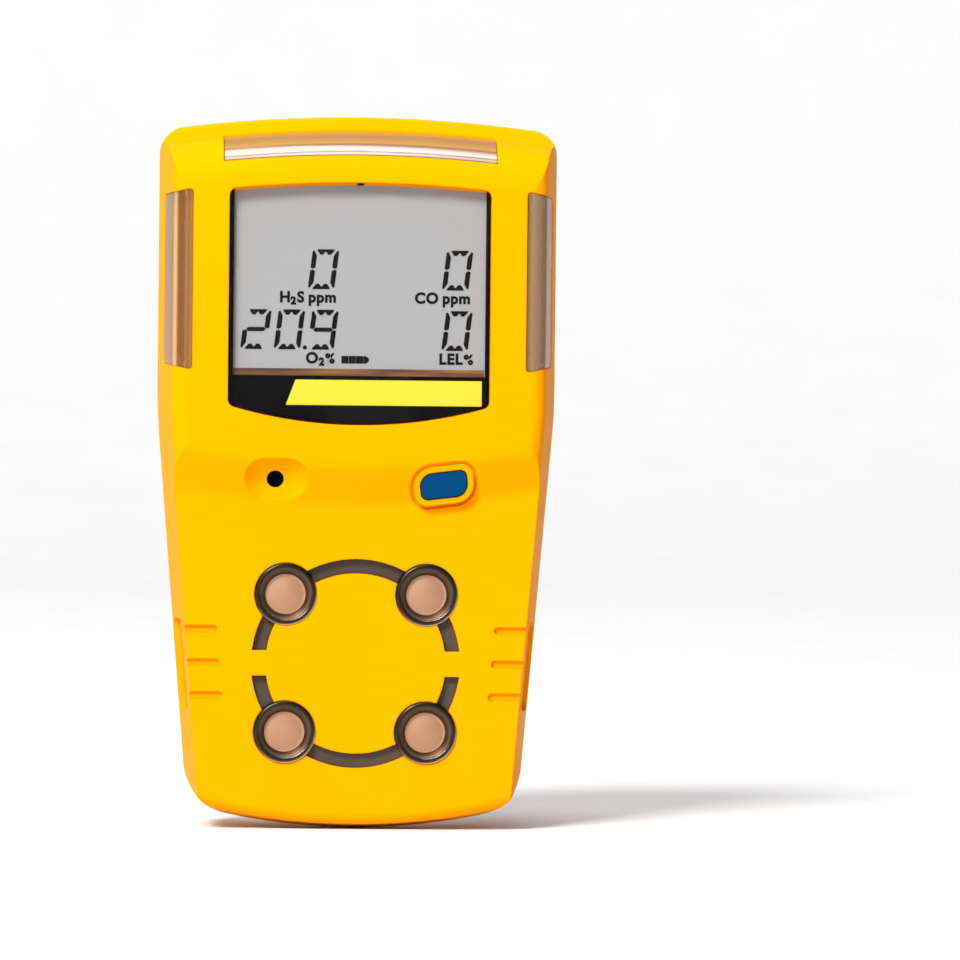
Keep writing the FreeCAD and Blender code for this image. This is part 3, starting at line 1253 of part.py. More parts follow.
def main():
    os.makedirs("parts", exist_ok=True)
    bar, tray = right_lens(), right_reflector()
    pieces = {
        "front_shell": front_shell(),
        "rear_shell": rear_shell(),
        "case_seal": case_seal(),
        "rear_label": rear_label(),
        "case_screws": case_screws(),
        "case_inserts": case_inserts(),
        "display_window": display_window(),
        "display_mask": display_mask(),
        "lcd_glass": lcd_glass(),
        "lcd_backlight": lcd_backlight(),
        "lcd_connector": lcd_connector(),
        "display_holder": display_holder(),
        "top_alarm_lens": top_lens(),
        "right_alarm_lens": bar,
        "left_alarm_lens": mirrored(bar),
        "top_reflector": top_reflector(),
        "right_reflector": tray,
        "left_reflector": mirrored(tray),
        "light_pipes": light_pipes(),
        "alarm_leds": alarm_leds(),
        "main_board": main_board(),
        "board_screws": board_screws(),
        "main_controller": chip(-CHIP_SIZE),
        "power_controller": chip(CHIP_SIZE),
        "sensor_board": sensor_board(),
        "board_link": board_link(),
        "battery": battery(),
        "battery_pad": battery_pad(),
        "battery_terminals": battery_terminals(),
        "motor_can": motor_can(),
        "motor_boot": motor_boot(),
        "motor_weight": motor_weight(),
        "power_button": power_button(),
        "switch_body": switch_body(),
        "switch_plunger": switch_plunger(),
        "sounder": sounder(),
        "sounder_seal": sounder_seal(),
        "sensor_rings": sensor_rings(),
        "sensor_filters": sensor_filters(),
        "sensor_gasket": sensor_gasket(),
        "sensor_carrier": sensor_carrier(),
        "channel_strips": channel_strips(),
        "side_window": side_window(),
        "charging_contacts": charging_contacts(),
        "clip_plate": clip_plate(),
        "clip_strap": clip_strap(),
        "clip_jaw": clip_jaw(),
        "clip_rivet": clip_rivet(),
        "clip_spring": clip_spring(),
        "clip_screw": clip_screw(),
        "clip_washer": clip_washer(),
        "clip_insert": clip_insert(),
    }
    for place, (x, z) in PORTS.items():
        pieces[SENSOR_NAMES[place]] = sensor(x, z)
    for name, shape in pieces.items():
        write(name, shape)


main()
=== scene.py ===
"""Portable four-gas detector: materials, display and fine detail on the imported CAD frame."""
import json
import math

import bmesh
import bpy
from mathutils import Matrix, Vector


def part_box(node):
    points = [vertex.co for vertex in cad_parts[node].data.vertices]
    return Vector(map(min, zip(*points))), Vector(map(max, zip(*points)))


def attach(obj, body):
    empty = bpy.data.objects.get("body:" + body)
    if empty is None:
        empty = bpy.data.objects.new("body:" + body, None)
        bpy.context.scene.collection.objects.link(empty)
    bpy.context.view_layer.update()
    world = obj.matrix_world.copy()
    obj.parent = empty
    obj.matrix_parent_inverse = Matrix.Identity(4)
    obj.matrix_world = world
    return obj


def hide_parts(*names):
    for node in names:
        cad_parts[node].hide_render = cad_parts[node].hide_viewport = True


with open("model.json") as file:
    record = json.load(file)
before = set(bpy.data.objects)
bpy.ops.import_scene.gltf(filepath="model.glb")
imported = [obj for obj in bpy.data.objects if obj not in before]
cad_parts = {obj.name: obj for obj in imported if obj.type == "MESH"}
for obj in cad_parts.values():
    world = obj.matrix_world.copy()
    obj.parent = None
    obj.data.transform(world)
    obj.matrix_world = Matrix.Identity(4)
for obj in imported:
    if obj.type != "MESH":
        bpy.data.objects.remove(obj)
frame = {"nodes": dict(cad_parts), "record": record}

MM = 0.001
PLASTIC_IOR, METAL_IOR = 1.5, 1.6
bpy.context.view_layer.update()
nodes = frame["nodes"]
scene = bpy.context.scene


# ------------------------------------------------------------------ node graphs
class Graph:
    """Small helper for building one material's node tree."""

    def __init__(self, name):
        self.material = bpy.data.materials.new(name)
        self.material.use_nodes = True
        self.tree = self.material.node_tree
        self.tree.nodes.clear()
        self.out = self.add("ShaderNodeOutputMaterial")
        self.shader = self.add("ShaderNodeBsdfPrincipled")
        self.link(self.shader, "BSDF", self.out, "Surface")
        self.coords = self.add("ShaderNodeTexCoord")

    def add(self, kind, **values):
        node = self.tree.nodes.new(kind)
        for key, value in values.items():
            setattr(node, key, value)
        return node

    def link(self, a, a_socket, b, b_socket):
        self.tree.links.new(a.outputs[a_socket], b.inputs[b_socket])

    def set(self, **values):
        for key, value in values.items():
            self.shader.inputs[key.replace("_", " ")].default_value = value

    def noise(self, scale, detail=3.0, rough=0.55, stretch=(1, 1, 1)):
        """Noise in the object's own space, drawn out where stretch is small."""
        mapping = self.add("ShaderNodeMapping")
        mapping.inputs["Scale"].default_value = stretch
        self.link(self.coords, "Object", mapping, "Vector")
        node = self.add("ShaderNodeTexNoise")
        node.inputs["Scale"].default_value = scale
        node.inputs["Detail"].default_value = detail
        node.inputs["Roughness"].default_value = rough
        self.link(mapping, "Vector", node, "Vector")
        return node

    def ramp(self, source, socket, low, high, a, b):
        """source's value, stretched from low..high onto colours a..b."""
        node = self.add("ShaderNodeValToRGB")
        first, last = node.color_ramp.elements
        first.position, last.position = low, high
        first.color, last.color = (*a, 1), (*b, 1)
        self.link(source, socket, node, "Fac")
        return node

    def spread(self, source, socket, low, high):
        """source's value of 0..1, stretched onto low..high."""
        node = self.add("ShaderNodeMapRange")
        node.inputs["To Min"].default_value = low
        node.inputs["To Max"].default_value = high
        self.link(source, socket, node, "Value")
        return node

    def bump(self, source, socket, strength, distance, normal=None):
        """Relief from source's value, on top of another normal where one is given."""
        node = self.add("ShaderNodeBump")
        node.inputs["Strength"].default_value = strength
        node.inputs["Distance"].default_value = distance
        self.link(source, socket, node, "Height")
        if normal:
            self.link(normal, "Normal", node, "Normal")
        return node

    def bevel(self, radius):
        """Normal that rounds the edges by radius."""
        node = self.add("ShaderNodeBevel", samples=4)
        node.inputs["Radius"].default_value = radius
        return node

    def vector(self, operation, source, socket, *values):
        """Vector maths on source's value; values are the other inputs."""
        node = self.add("ShaderNodeVectorMath", operation=operation)
        for place, value in enumerate(values, 1):
            node.inputs[place].default_value = value
        self.link(source, socket, node, 0)
        return node

    def radius(self, source):
        """Distance of source's vector from the y axis."""
        flat = self.vector("MULTIPLY", source, "Vector", (1, 0, 1))
        return self.vector("LENGTH", flat, "Vector")


def moulded(name, colour, dark, rough, grain=0.05, coat=0.0, edge=0.0, shine=0.3,
            tint=(1, 1, 1)):
    """Moulded plastic: faint flow marks in the colour, uneven gloss and a fine spark texture."""
    g = Graph(name)
    flow = g.noise(38, 4, 0.6, (1, 1, 0.5))
    g.link(g.ramp(flow, "Fac", 0.3, 0.7, dark, colour), "Color", g.shader, "Base Color")
    gloss = g.noise(160, 3)
    g.link(g.spread(gloss, "Fac", rough - 0.07, rough + 0.09), "Result", g.shader, "Roughness")
    spark = g.noise(5200, 2, 0.5)
    base = g.bevel(edge) if edge else None
    g.link(g.bump(spark, "Fac", grain, 0.00006, base), "Normal", g.shader, "Normal")
    g.set(IOR=PLASTIC_IOR, Coat_Weight=coat, Coat_Roughness=0.12, Specular_IOR_Level=shine,
          Specular_Tint=(*tint, 1))
    return g.material


def metal(name, bright, dull, rough, brushed, scale=900, wear=0.3):
    """Metal with fine scratches along one direction, blotchy tarnish and softened edges."""
    g = Graph(name)
    tarnish = g.noise(210, 5, 0.65)
    g.link(g.ramp(tarnish, "Fac", 0.35, 0.35 + wear, dull, bright), "Color", g.shader, "Base Color")
    scratch = g.noise(scale, 3, 0.6, brushed)
    g.link(g.spread(scratch, "Fac", rough * 0.7, rough * 1.45), "Result", g.shader, "Roughness")
    g.link(g.bump(scratch, "Fac", 0.12, 0.00005, g.bevel(0.0001)), "Normal", g.shader, "Normal")
    g.set(Metallic=1.0, IOR=METAL_IOR)
    return g.material


def glazed(name, tint, dark, alpha, rough, ripple=0.03, coat=1.0, shine=0.5):
    """Clear or tinted glossy plastic that lets light straight through."""
    g = Graph(name)
    cloud = g.noise(60, 3)
    g.link(g.ramp(cloud, "Fac", 0.3, 0.7, dark, tint), "Color", g.shader, "Base Color")
    haze = g.noise(340, 4)
    g.link(g.spread(haze, "Fac", rough * 0.6, rough * 1.6), "Result", g.shader, "Roughness")
    wave = g.noise(90, 2)
    g.link(g.bump(wave, "Fac", ripple, 0.0002, g.bevel(0.00012)), "Normal", g.shader, "Normal")
    g.set(IOR=PLASTIC_IOR, Alpha=alpha, Coat_Weight=coat, Coat_Roughness=0.03,
          Specular_IOR_Level=shine)
    return g.material


def woven(name, bright, dark, pitch, rough):
    """Fine wire mesh, turned 45 degrees, with blotchy tarnish."""
    g = Graph(name)
    turn = g.add("ShaderNodeMapping")
    turn.inputs["Scale"].default_value = (1 / pitch, 0, 1 / pitch)
    turn.inputs["Rotation"].default_value = (0, math.radians(45), 0)
    g.link(g.coords, "Object", turn, "Vector")
    cells = g.add("ShaderNodeTexVoronoi", feature="DISTANCE_TO_EDGE")
    cells.inputs["Scale"].default_value = 1.0
    cells.inputs["Randomness"].default_value = 0.35
    g.link(turn, "Vector", cells, "Vector")
    blotch = g.noise(420, 4)
    mix = g.add("ShaderNodeMath", operation="MULTIPLY")
    g.link(g.spread(cells, "Distance", 0.62, 1.35), "Result", mix, 0)
    g.link(g.spread(blotch, "Fac", 0.7, 1.15), "Result", mix, 1)
    g.link(g.ramp(mix, "Value", 0.4, 1.0, dark, bright), "Color", g.shader, "Base Color")
    g.link(g.bump(cells, "Distance", 0.35, 0.00005), "Normal", g.shader, "Normal")
    g.link(g.spread(blotch, "Fac", rough - 0.08, rough + 0.12), "Result", g.shader, "Roughness")
    g.set(Metallic=0.65)
    return g.material


def streaked(name, bright, mid, dark):
    """Uneven, lengthwise reflections under the display's lower edge."""
    g = Graph(name)
    long = g.noise(420, 4, 0.6, (0.12, 1, 1.5))
    ramp = g.ramp(long, "Fac", 0.35, 0.7, dark, bright)
    middle = ramp.color_ramp.elements.new(0.5)
    middle.color = (*mid, 1)
    g.link(ramp, "Color", g.shader, "Base Color")
    g.link(g.bump(long, "Fac", 0.3, 0.0001), "Normal", g.shader, "Normal")
    g.set(Roughness=0.4)
    return g.material


def steps(g, source, socket, low, high, colours):
    """Bands of colour along a value that runs from low to high; colours are (value, colour)."""
    scaled = g.add("ShaderNodeMapRange")
    scaled.inputs["From Min"].default_value = low
    scaled.inputs["From Max"].default_value = high
    g.link(source, socket, scaled, "Value")
    ramp = g.add("ShaderNodeValToRGB")
    elements = ramp.color_ramp.elements
    while len(elements) < len(colours):
        elements.new(0.5)
    # The stops sort themselves as they move, so they get their colours when all are in place.
    for element, (value, _) in zip(elements, colours):
        element.position = (value - low) / (high - low)
    for element, (_, colour) in zip(elements, colours):
        element.color = (*colour, 1)
    g.link(scaled, "Result", ramp, "Fac")
    return ramp


# Bands across the alarm bars: distance in metres, from the arch's centre for the top bar and from
# the middle of the case for the side bars, with the colour there. The bands are painted reflections
# of the surroundings in the light guides, and the side bars' darker bands are painted shade.
ARCH_CENTRE = (0, 0, -0.1022)
PALE, THIN = (0.38, 0.28, 0.22), (0.12, 0.07, 0.04)
TOP_SPAN = (0.2086, 0.2130)
# Painted reflections of the surroundings across the top bar.
TOP_PAINTED_REFLECTIONS = [
    (0.20865, PALE), (0.20925, (0.45, 0.36, 0.3)), (0.20945, THIN), (0.20962, (0.5, 0.4, 0.33)),
    (0.21035, PALE), (0.21055, (0.24, 0.12, 0.05)), (0.21085, (0.46, 0.25, 0.08)),
    (0.2122, (0.36, 0.17, 0.045)),
]
BROWN, TAN, CREAM = (0.21, 0.085, 0.02), (0.3, 0.15, 0.055), (0.6, 0.42, 0.22)
GREY_TAN = (0.35, 0.22, 0.13)
SIDE_SPAN = (0.026, 0.0316)
# Painted reflections and painted shade across the left bar.
LEFT_PAINTED_REFLECTIONS_AND_SHADE = [
    (0.0263, (0.14, 0.05, 0.03)), (0.0265, (0.36, 0.19, 0.09)), (0.0272, BROWN),
    (0.0287, BROWN), (0.0290, CREAM), (0.0293, CREAM), (0.0296, TAN), (0.0304, (0.36, 0.2, 0.1)),
]
# Painted reflections and painted shade across the right bar.
RIGHT_PAINTED_REFLECTIONS_AND_SHADE = [
    (0.0263, (0.2, 0.08, 0.03)), (0.0267, (0.28, 0.15, 0.07)), (0.0272, GREY_TAN),
    (0.0280, GREY_TAN), (0.0288, (0.33, 0.2, 0.12)), (0.0293, (0.38, 0.24, 0.13)),
    (0.0299, TAN), (0.0306, (0.45, 0.2, 0.04)),
]


def top_lens():
    """Clear bar with painted reflections in the light guide: the tan upper band and the pale
    facets.
    """
    g = Graph("top_lens")
    reach = g.radius(g.vector("SUBTRACT", g.coords, "Object", ARCH_CENTRE))
    ripple = g.noise(120, 2, 0.5, (1, 0.2, 0.2))
    total = g.add("ShaderNodeMath", operation="ADD")
    g.link(reach, "Value", total, 0)
    g.link(g.spread(ripple, "Fac", -0.00018, 0.00018), "Result", total, 1)
    g.link(steps(g, total, "Value", *TOP_SPAN, TOP_PAINTED_REFLECTIONS), "Color", g.shader, "Base Color")
    haze = g.noise(340, 4)
    g.link(g.spread(haze, "Fac", 0.08, 0.2), "Result", g.shader, "Roughness")
    g.link(g.bump(ripple, "Fac", 0.2, 0.0003, g.bevel(0.00015)), "Normal", g.shader, "Normal")
    g.set(IOR=PLASTIC_IOR, Alpha=0.8, Coat_Weight=0.2, Coat_Roughness=0.08)
    return g.material


def side_lens(name, bands):
    """Clear bar over the tray, whose warm colour is a painted reflection, with painted reflections
    and painted shade as the lines of the light guide inside it.
    """
    g = Graph(name)
    parts = g.add("ShaderNodeSeparateXYZ")
    g.link(g.coords, "Object", parts, "Vector")
    across = g.add("ShaderNodeMath", operation="ABSOLUTE")
    g.link(parts, "X", across, 0)
    g.link(steps(g, across, "Value", *SIDE_SPAN, bands), "Color", g.shader, "Base Color")
    streak = g.noise(260, 3, 0.5, (1, 1, 0.06))
    g.link(g.spread(streak, "Fac", 0.08, 0.22), "Result", g.shader, "Roughness")
    g.link(g.bump(streak, "Fac", 0.15, 0.0002, g.bevel(0.00015)), "Normal", g.shader, "Normal")
    g.set(IOR=PLASTIC_IOR, Alpha=0.6, Coat_Weight=0.25, Coat_Roughness=0.06)
    return g.material


# The four gas ports: height of their middle, and how far each lies from it, in millimetres.
PORT_MIDDLE_Z = 26.3
PORT_OFFSET = (11.15, 10.9)
# Bands round a port, from the funnel to the outer rim: radius in metres, with the colour there.
# SHADED_BANDS is the painted shaded side and LIT_BANDS the painted lit side, with a painted
# reflection band in the funnel and a painted highlight on the outer rim.
RING_DARK, RING_GREY = (0.022, 0.018, 0.01), (0.11, 0.09, 0.065)
RING_SPAN = (0.0026, 0.005)
SHADED_BANDS = [
    (0.0033, (0.06, 0.04, 0.03)), (0.0036, RING_GREY), (0.00385, (0.16, 0.13, 0.1)),
    (0.0041, RING_GREY), (0.00422, RING_DARK), (0.0046, (0.03, 0.025, 0.015)),
    (0.0048, RING_DARK), (0.00494, (0.05, 0.04, 0.03)),
]
LIT_BANDS = [
    (0.0033, (0.1, 0.05, 0.03)), (0.0036, RING_GREY), (0.00385, (0.3, 0.25, 0.2)),
    (0.0041, (0.16, 0.12, 0.1)), (0.00422, RING_DARK), (0.0046, (0.04, 0.03, 0.02)),
    (0.00475, (0.16, 0.13, 0.11)), (0.00486, (0.7, 0.62, 0.55)),
]


def port_ring():
    """Dark plated rings: painted highlight on the rim at the lower right, dark flat face and
    polished funnel with a painted reflection band, painted shade elsewhere.
    """
    g = Graph("port_ring")
    dx, dz = (offset * MM for offset in PORT_OFFSET)
    middle = g.vector("SUBTRACT", g.coords, "Object", (0, 0, PORT_MIDDLE_Z * MM))
    folded = g.vector("WRAP", middle, "Vector", (2 * dx, 1, 2 * dz), (0, -1, 0))
    centred = g.vector("SUBTRACT", folded, "Vector", (dx, 0, dz))
    reach = g.radius(centred)
    shaded = steps(g, reach, "Value", *RING_SPAN, SHADED_BANDS)
    lit = steps(g, reach, "Value", *RING_SPAN, LIT_BANDS)
    # Painted light: the shaded colours give way to the lit ones towards the lower right.
    lower_right = g.vector("DOT_PRODUCT", centred, "Vector", (0.5, 0, -0.85))
    turn = g.add("ShaderNodeMapRange")
    turn.inputs["From Min"].default_value = -0.0005
    turn.inputs["From Max"].default_value = 0.0042
    g.link(lower_right, "Value", turn, "Value")
    blend = g.add("ShaderNodeMix", data_type="RGBA")
    colour_a, colour_b, colour_out = 6, 7, 2  # the mix node's colour sockets
    g.link(turn, "Result", blend, "Factor")
    g.link(shaded, "Color", blend, colour_a)
    g.link(lit, "Color", blend, colour_b)
    g.link(blend, colour_out, g.shader, "Base Color")
    wear = g.noise(900, 3)
    g.link(g.spread(wear, "Fac", 0.16, 0.3), "Result", g.shader, "Roughness")
    g.link(g.bump(wear, "Fac", 0.08, 0.00005, g.bevel(0.00008)), "Normal", g.shader, "Normal")
    g.set(Metallic=0.85, IOR=METAL_IOR)
    return g.material


looks = {
    "yellow_shell": moulded("yellow_polycarbonate", (0.93, 0.32, 0.0), (0.91, 0.305, 0.0),
                            rough=0.4, edge=0.0004, shine=0.02, tint=(1.0, 0.7, 0.02)),
    "window_glaze": glazed("window_polycarbonate", (0.02, 0.02, 0.02), (0.014, 0.014, 0.014),
                           alpha=0.04, rough=0.03, ripple=0.005, coat=0.0, shine=0.08),
    "black_mask": moulded("black_print", (0.006, 0.005, 0.006), (0.003, 0.003, 0.003),
                          rough=0.35, grain=0.01, shine=0.1),
    "lcd": moulded("lcd_grey", (0.315, 0.315, 0.315), (0.308, 0.308, 0.308),
                   rough=0.5, grain=0.0, shine=0.1),
    "white_plastic": moulded("white_moulding", (0.6, 0.59, 0.55), (0.54, 0.53, 0.49), rough=0.5),
    "lens_amber": side_lens("side_lens", LEFT_PAINTED_REFLECTIONS_AND_SHADE),
    # The silver tray's warm brown colour is a painted reflection of the surroundings.
    "reflector_silver": metal("metallised_tray_painted_warm_reflection", (0.5, 0.33, 0.18), (0.3, 0.17, 0.08),
                              rough=0.3, brushed=(1, 1, 0.1), scale=700),
    "clear_pipe": glazed("light_pipe", (0.75, 0.68, 0.58), (0.66, 0.58, 0.48),
                         alpha=0.85, rough=0.12),
    "blue_plastic": moulded("blue_keycap", (0.0, 0.048, 0.14), (0.0, 0.042, 0.125),
                            rough=0.45, grain=0.06, edge=0.0003, shine=0.02),
    "board_green": moulded("solder_mask", (0.02, 0.13, 0.05), (0.015, 0.09, 0.035),
                           rough=0.35, grain=0.1, coat=0.3),
    "chip_black": moulded("chip_package", (0.03, 0.03, 0.032), (0.02, 0.02, 0.02),
                          rough=0.6, grain=0.1),
    "dark_rubber": moulded("dark_elastomer", (0.02, 0.018, 0.016), (0.012, 0.011, 0.01),
                           rough=0.75, grain=0.15),
    "grey_strip": moulded("channel_floor", (0.062, 0.048, 0.03), (0.035, 0.027, 0.018),
                          rough=0.5, grain=0.25),
    "battery_wrap": moulded("battery_wrap", (0.03, 0.07, 0.25), (0.02, 0.05, 0.2),
                            rough=0.25, grain=0.02, coat=0.4),
    "foam": moulded("foam", (0.09, 0.09, 0.09), (0.05, 0.05, 0.05), rough=0.9, grain=0.6),
    "brass": metal("turned_brass", (0.75, 0.53, 0.24), (0.55, 0.36, 0.15),
                   rough=0.3, brushed=(1, 30, 1)),
    "steel": metal("stainless_steel", (0.6, 0.59, 0.57), (0.4, 0.38, 0.36),
                   rough=0.28, brushed=(1, 1, 6), scale=1200),
    "nickel_sheet": metal("nickel_plated_steel", (0.42, 0.385, 0.35), (0.33, 0.29, 0.26),
                          rough=0.22, brushed=(1, 1, 5), scale=600, wear=0.5),
    "gunmetal": port_ring(),
    "copper_mesh": woven("copper_mesh", (0.5, 0.28, 0.165), (0.34, 0.17, 0.095),
                         pitch=0.00022, rough=0.45),
    "label_print": moulded("label_film", (0.5, 0.5, 0.48), (0.44, 0.44, 0.42),
                           rough=0.45, grain=0.08),
}

record_slots = {p["node"]: p["material_slot"] for p in frame["record"]["subparts"]}
for name, node in nodes.items():
    node.data.materials.clear()
    node.data.materials.append(looks[record_slots[name]])
nodes["top_alarm_lens"].data.materials[0] = top_lens()
nodes["right_alarm_lens"].data.materials[0] = side_lens("right_side_lens", RIGHT_PAINTED_REFLECTIONS_AND_SHADE)


# ------------------------------------------------------------------ mesh making
def piece(name, bm, material, body, replaced=(), smooth=False):
    """Makes one named piece out of bm, which rides on body and stands for the replaced nodes."""
    mesh = bpy.data.meshes.new(name)
    bmesh.ops.recalc_face_normals(bm, faces=bm.faces)
    bm.to_mesh(mesh)
    bm.free()
    obj = bpy.data.objects.new(name, mesh)
    scene.collection.objects.link(obj)
    mesh.materials.append(material)
    for face in mesh.polygons:
        face.use_smooth = smooth
    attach(obj, body)
    if replaced:
        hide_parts(*replaced)
    return obj


def plate(bm, outline, y_front, y_back):
    """Adds a closed flat piece: (x, z) outline in millimetres between two depths in millimetres."""
    front = [bm.verts.new((x * MM, y_front * MM, z * MM)) for x, z in outline]
    back = [bm.verts.new((x * MM, y_back * MM, z * MM)) for x, z in outline]
    bm.faces.new(front)
    bm.faces.new(back[::-1])
    count = len(outline)
    for i in range(count):
        j = (i + 1) % count
        bm.faces.new((front[i], back[i], back[j], front[j]))


# ------------------------------------------------------------------ sensor discs
disc_low, disc_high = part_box("sensor_filters")
DISC_RADIUS = (disc_high.x - disc_low.x) / 2 / MM - PORT_OFFSET[0]
DISC_SIDES = 72
# (share of the radius, share of the depth) from next to the middle out to the back of the rim
DISC_PROFILE = [
    (0.15, 0.02), (0.3, 0.08), (0.45, 0.18), (0.6, 0.32), (0.72, 0.47), (0.82, 0.62),
    (0.9, 0.78), (0.93, 0.7), (0.97, 0.68), (1.0, 0.8), (1.0, 1.0),
]


def circle(x, z, radius, count):
    """Points (x, z) of a circle."""
    turns = [2 * math.pi * i / count for i in range(count)]
    return [(x + radius * math.cos(turn), z + radius * math.sin(turn)) for turn in turns]


def domed_disc(bm, x, z):
    """A pressed mesh disc: slightly domed, with a flat rolled rim, closed at the back."""
    front, back = disc_low.y, disc_high.y
    rings = []
    for share, depth in DISC_PROFILE:
        y = front + (back - front) * depth
        rings.append([bm.verts.new((px * MM, y, pz * MM))
                      for px, pz in circle(x, z, DISC_RADIUS * share, DISC_SIDES)])
    top = bm.verts.new((x * MM, front, z * MM))
    for i in range(DISC_SIDES):
        j = (i + 1) % DISC_SIDES
        bm.faces.new((top, rings[0][i], rings[0][j]))
        for inner, outer in zip(rings, rings[1:]):
            bm.faces.new((inner[i], outer[i], outer[j], inner[j]))
    bm.faces.new(rings[-1])


discs = bmesh.new()
for side in (-1, 1):
    for level in (-1, 1):
        domed_disc(discs, side * PORT_OFFSET[0], PORT_MIDDLE_Z + level * PORT_OFFSET[1])
piece("sensor_mesh_discs", discs, looks["copper_mesh"], "case",
      ["sensor_filters"], smooth=True)


# ------------------------------------------------------------------ display
# Lengths on the display are in millimetres.
glass_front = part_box("lcd_glass")[0].y / MM
INK_THICK = 0.04
DIGIT_WIDTH, DIGIT_HEIGHT, DIGIT_PITCH = 4.2, 6.3, 5.3
STROKE, GAP = 0.78, 0.11
LEAN = math.tan(math.radians(7))
SEGMENTS = {"0": "abcdef", "2": "abged", "9": "abcdfg"}
UPPER, LOWER = 85.45, 75.9  # foot of each row of digits
LEFT, RIGHT = -4.0, 17.2  # right edge of each column of readings
POINT_BEFORE, POINT_UP, POINT_RADIUS, POINT_SIDES = 4.55, 0.32, 0.34, 16

ink = moulded("lcd_ink", (0.006, 0.006, 0.007), (0.004, 0.004, 0.005), rough=0.5, grain=0.0,
              shine=0.1)


def inked(bm, outline):
    """Adds a thin shape of display ink that stands on the display's glass."""
    plate(bm, outline, glass_front - INK_THICK, glass_front)


def segment_outline(which, w, h):
    """Outline of one bar of a seven-bar digit, from the digit's lower left corner."""
    s, t, g = STROKE, STROKE / 2, GAP
    mid, half = h / 2, w / 2
    flat = [(g + t * 1.5, 0), (w - g - t * 1.5, 0), (w - g - s * 0.95, t * 0.9),
            (w - g - s * 1.5, s * 1.1), (half + s * 0.5, s * 1.1), (half + s * 0.1, s * 0.55),
            (half - s * 0.1, s * 0.55), (half - s * 0.5, s * 1.1), (g + s * 1.5, s * 1.1),
            (g + s * 0.95, t * 0.9)]
    upright = [(0, g + t * 0.6), (0, mid - g - t * 0.3), (t, mid - g * 0.6),
               (s, mid - g - t * 0.5), (s, g + s * 1.2), (t * 0.7, g + t * 0.2)]
    if which == "d":
        return flat
    if which == "a":
        return [(x, h - z) for x, z in flat]
    if which == "g":
        return [(g + t, mid), (g + s, mid + t * 0.85), (w - g - s, mid + t * 0.85),
                (w - g - t, mid), (w - g - s, mid - t * 0.85), (g + s, mid - t * 0.85)]
    if which == "e":
        return upright
    if which == "f":
        return [(x, h - z) for x, z in upright]
    if which == "c":
        return [(w - x, z) for x, z in upright]
    return [(w - x, h - z) for x, z in upright]


def digit(bm, character, right, base):
    """A digit whose lower right corner is at (right, base)."""
    for which in SEGMENTS[character]:
        outline = segment_outline(which, DIGIT_WIDTH, DIGIT_HEIGHT)
        inked(bm, [(right - DIGIT_WIDTH + x + z * LEAN, base + z) for x, z in outline])


digits = bmesh.new()
digit(digits, "0", LEFT, UPPER)
digit(digits, "0", RIGHT, UPPER)
digit(digits, "0", RIGHT, LOWER)
for i, character in enumerate("902"):  # from the right: 20.9 with its point
    digit(digits, character, LEFT - i * DIGIT_PITCH, LOWER)
inked(digits, circle(LEFT - POINT_BEFORE, LOWER + POINT_UP, POINT_RADIUS, POINT_SIDES))
piece("lcd_digits", digits, ink, "case")

CELL_FOOT, CELL_TOP = 73.75, 74.95
CELL_LEFT, CELL_WIDTH, CELL_PITCH, CELLS = -2.75, 1.11, 1.15, 3
TIP_LEFT, TIP_MIDDLE, TIP_RIGHT, TIP_CHAMFER = 0.7, 1.05, 1.6, 0.35
battery = bmesh.new()
for i in range(CELLS):
    x = CELL_LEFT + i * CELL_PITCH
    inked(battery, [(x, CELL_FOOT), (x + CELL_WIDTH, CELL_FOOT),
                    (x + CELL_WIDTH, CELL_TOP), (x, CELL_TOP)])
inked(battery, [(TIP_LEFT, CELL_FOOT), (TIP_MIDDLE, CELL_FOOT),
                (TIP_RIGHT, CELL_FOOT + TIP_CHAMFER), (TIP_RIGHT, CELL_TOP - TIP_CHAMFER),
                (TIP_MIDDLE, CELL_TOP), (TIP_LEFT, CELL_TOP)])
piece("lcd_battery_sign", battery, ink, "case")

UNIT_SIZE = 2.35
LETTER_SWELL, LETTER_SPACE = 0.105, 1.1
PART_GAP, WORD_GAP = 0.06, 0.22  # shares of the text's size
SUNK, SMALL, PERCENT = -0.15, 0.7, 0.9
UPPER_UNITS, LOWER_UNITS = 83.4, 73.8


def words(name, parts, right, base, size):
    """Unit name that ends at right; parts are (text, raised by, relative size)."""
    whole = bmesh.new()
    pen = 0.0
    for text, shift, share in parts:
        curve = bpy.data.curves.new(name, "FONT")
        curve.body = text
        curve.size = size * share * MM
        curve.offset = LETTER_SWELL * MM
        curve.space_character = LETTER_SPACE
        curve.extrude = INK_THICK / 2 * MM
        holder = bpy.data.objects.new(name, curve)
        scene.collection.objects.link(holder)
        bpy.context.view_layer.update()
        shaped = holder.evaluated_get(bpy.context.evaluated_depsgraph_get())
        mesh = bpy.data.meshes.new_from_object(shaped)
        mesh.transform(Matrix.Translation((pen, shift * size * MM, 0)))
        pen = max(v.co.x for v in mesh.vertices) + PART_GAP * size * MM
        if text.endswith(" "):
            pen += WORD_GAP * size * MM
        whole.from_mesh(mesh)
        bpy.data.objects.remove(holder)
        bpy.data.curves.remove(curve)
        bpy.data.meshes.remove(mesh)
    reach = max(v.co.x for v in whole.verts)
    upright = Matrix.Rotation(math.radians(90), 4, "X")
    place = Matrix.Translation((right * MM - reach, (glass_front - INK_THICK / 2) * MM, base * MM))
    whole.transform(place @ upright)
    bmesh.ops.remove_doubles(whole, verts=whole.verts, dist=1e-7)
    return piece(name, whole, ink, "case")


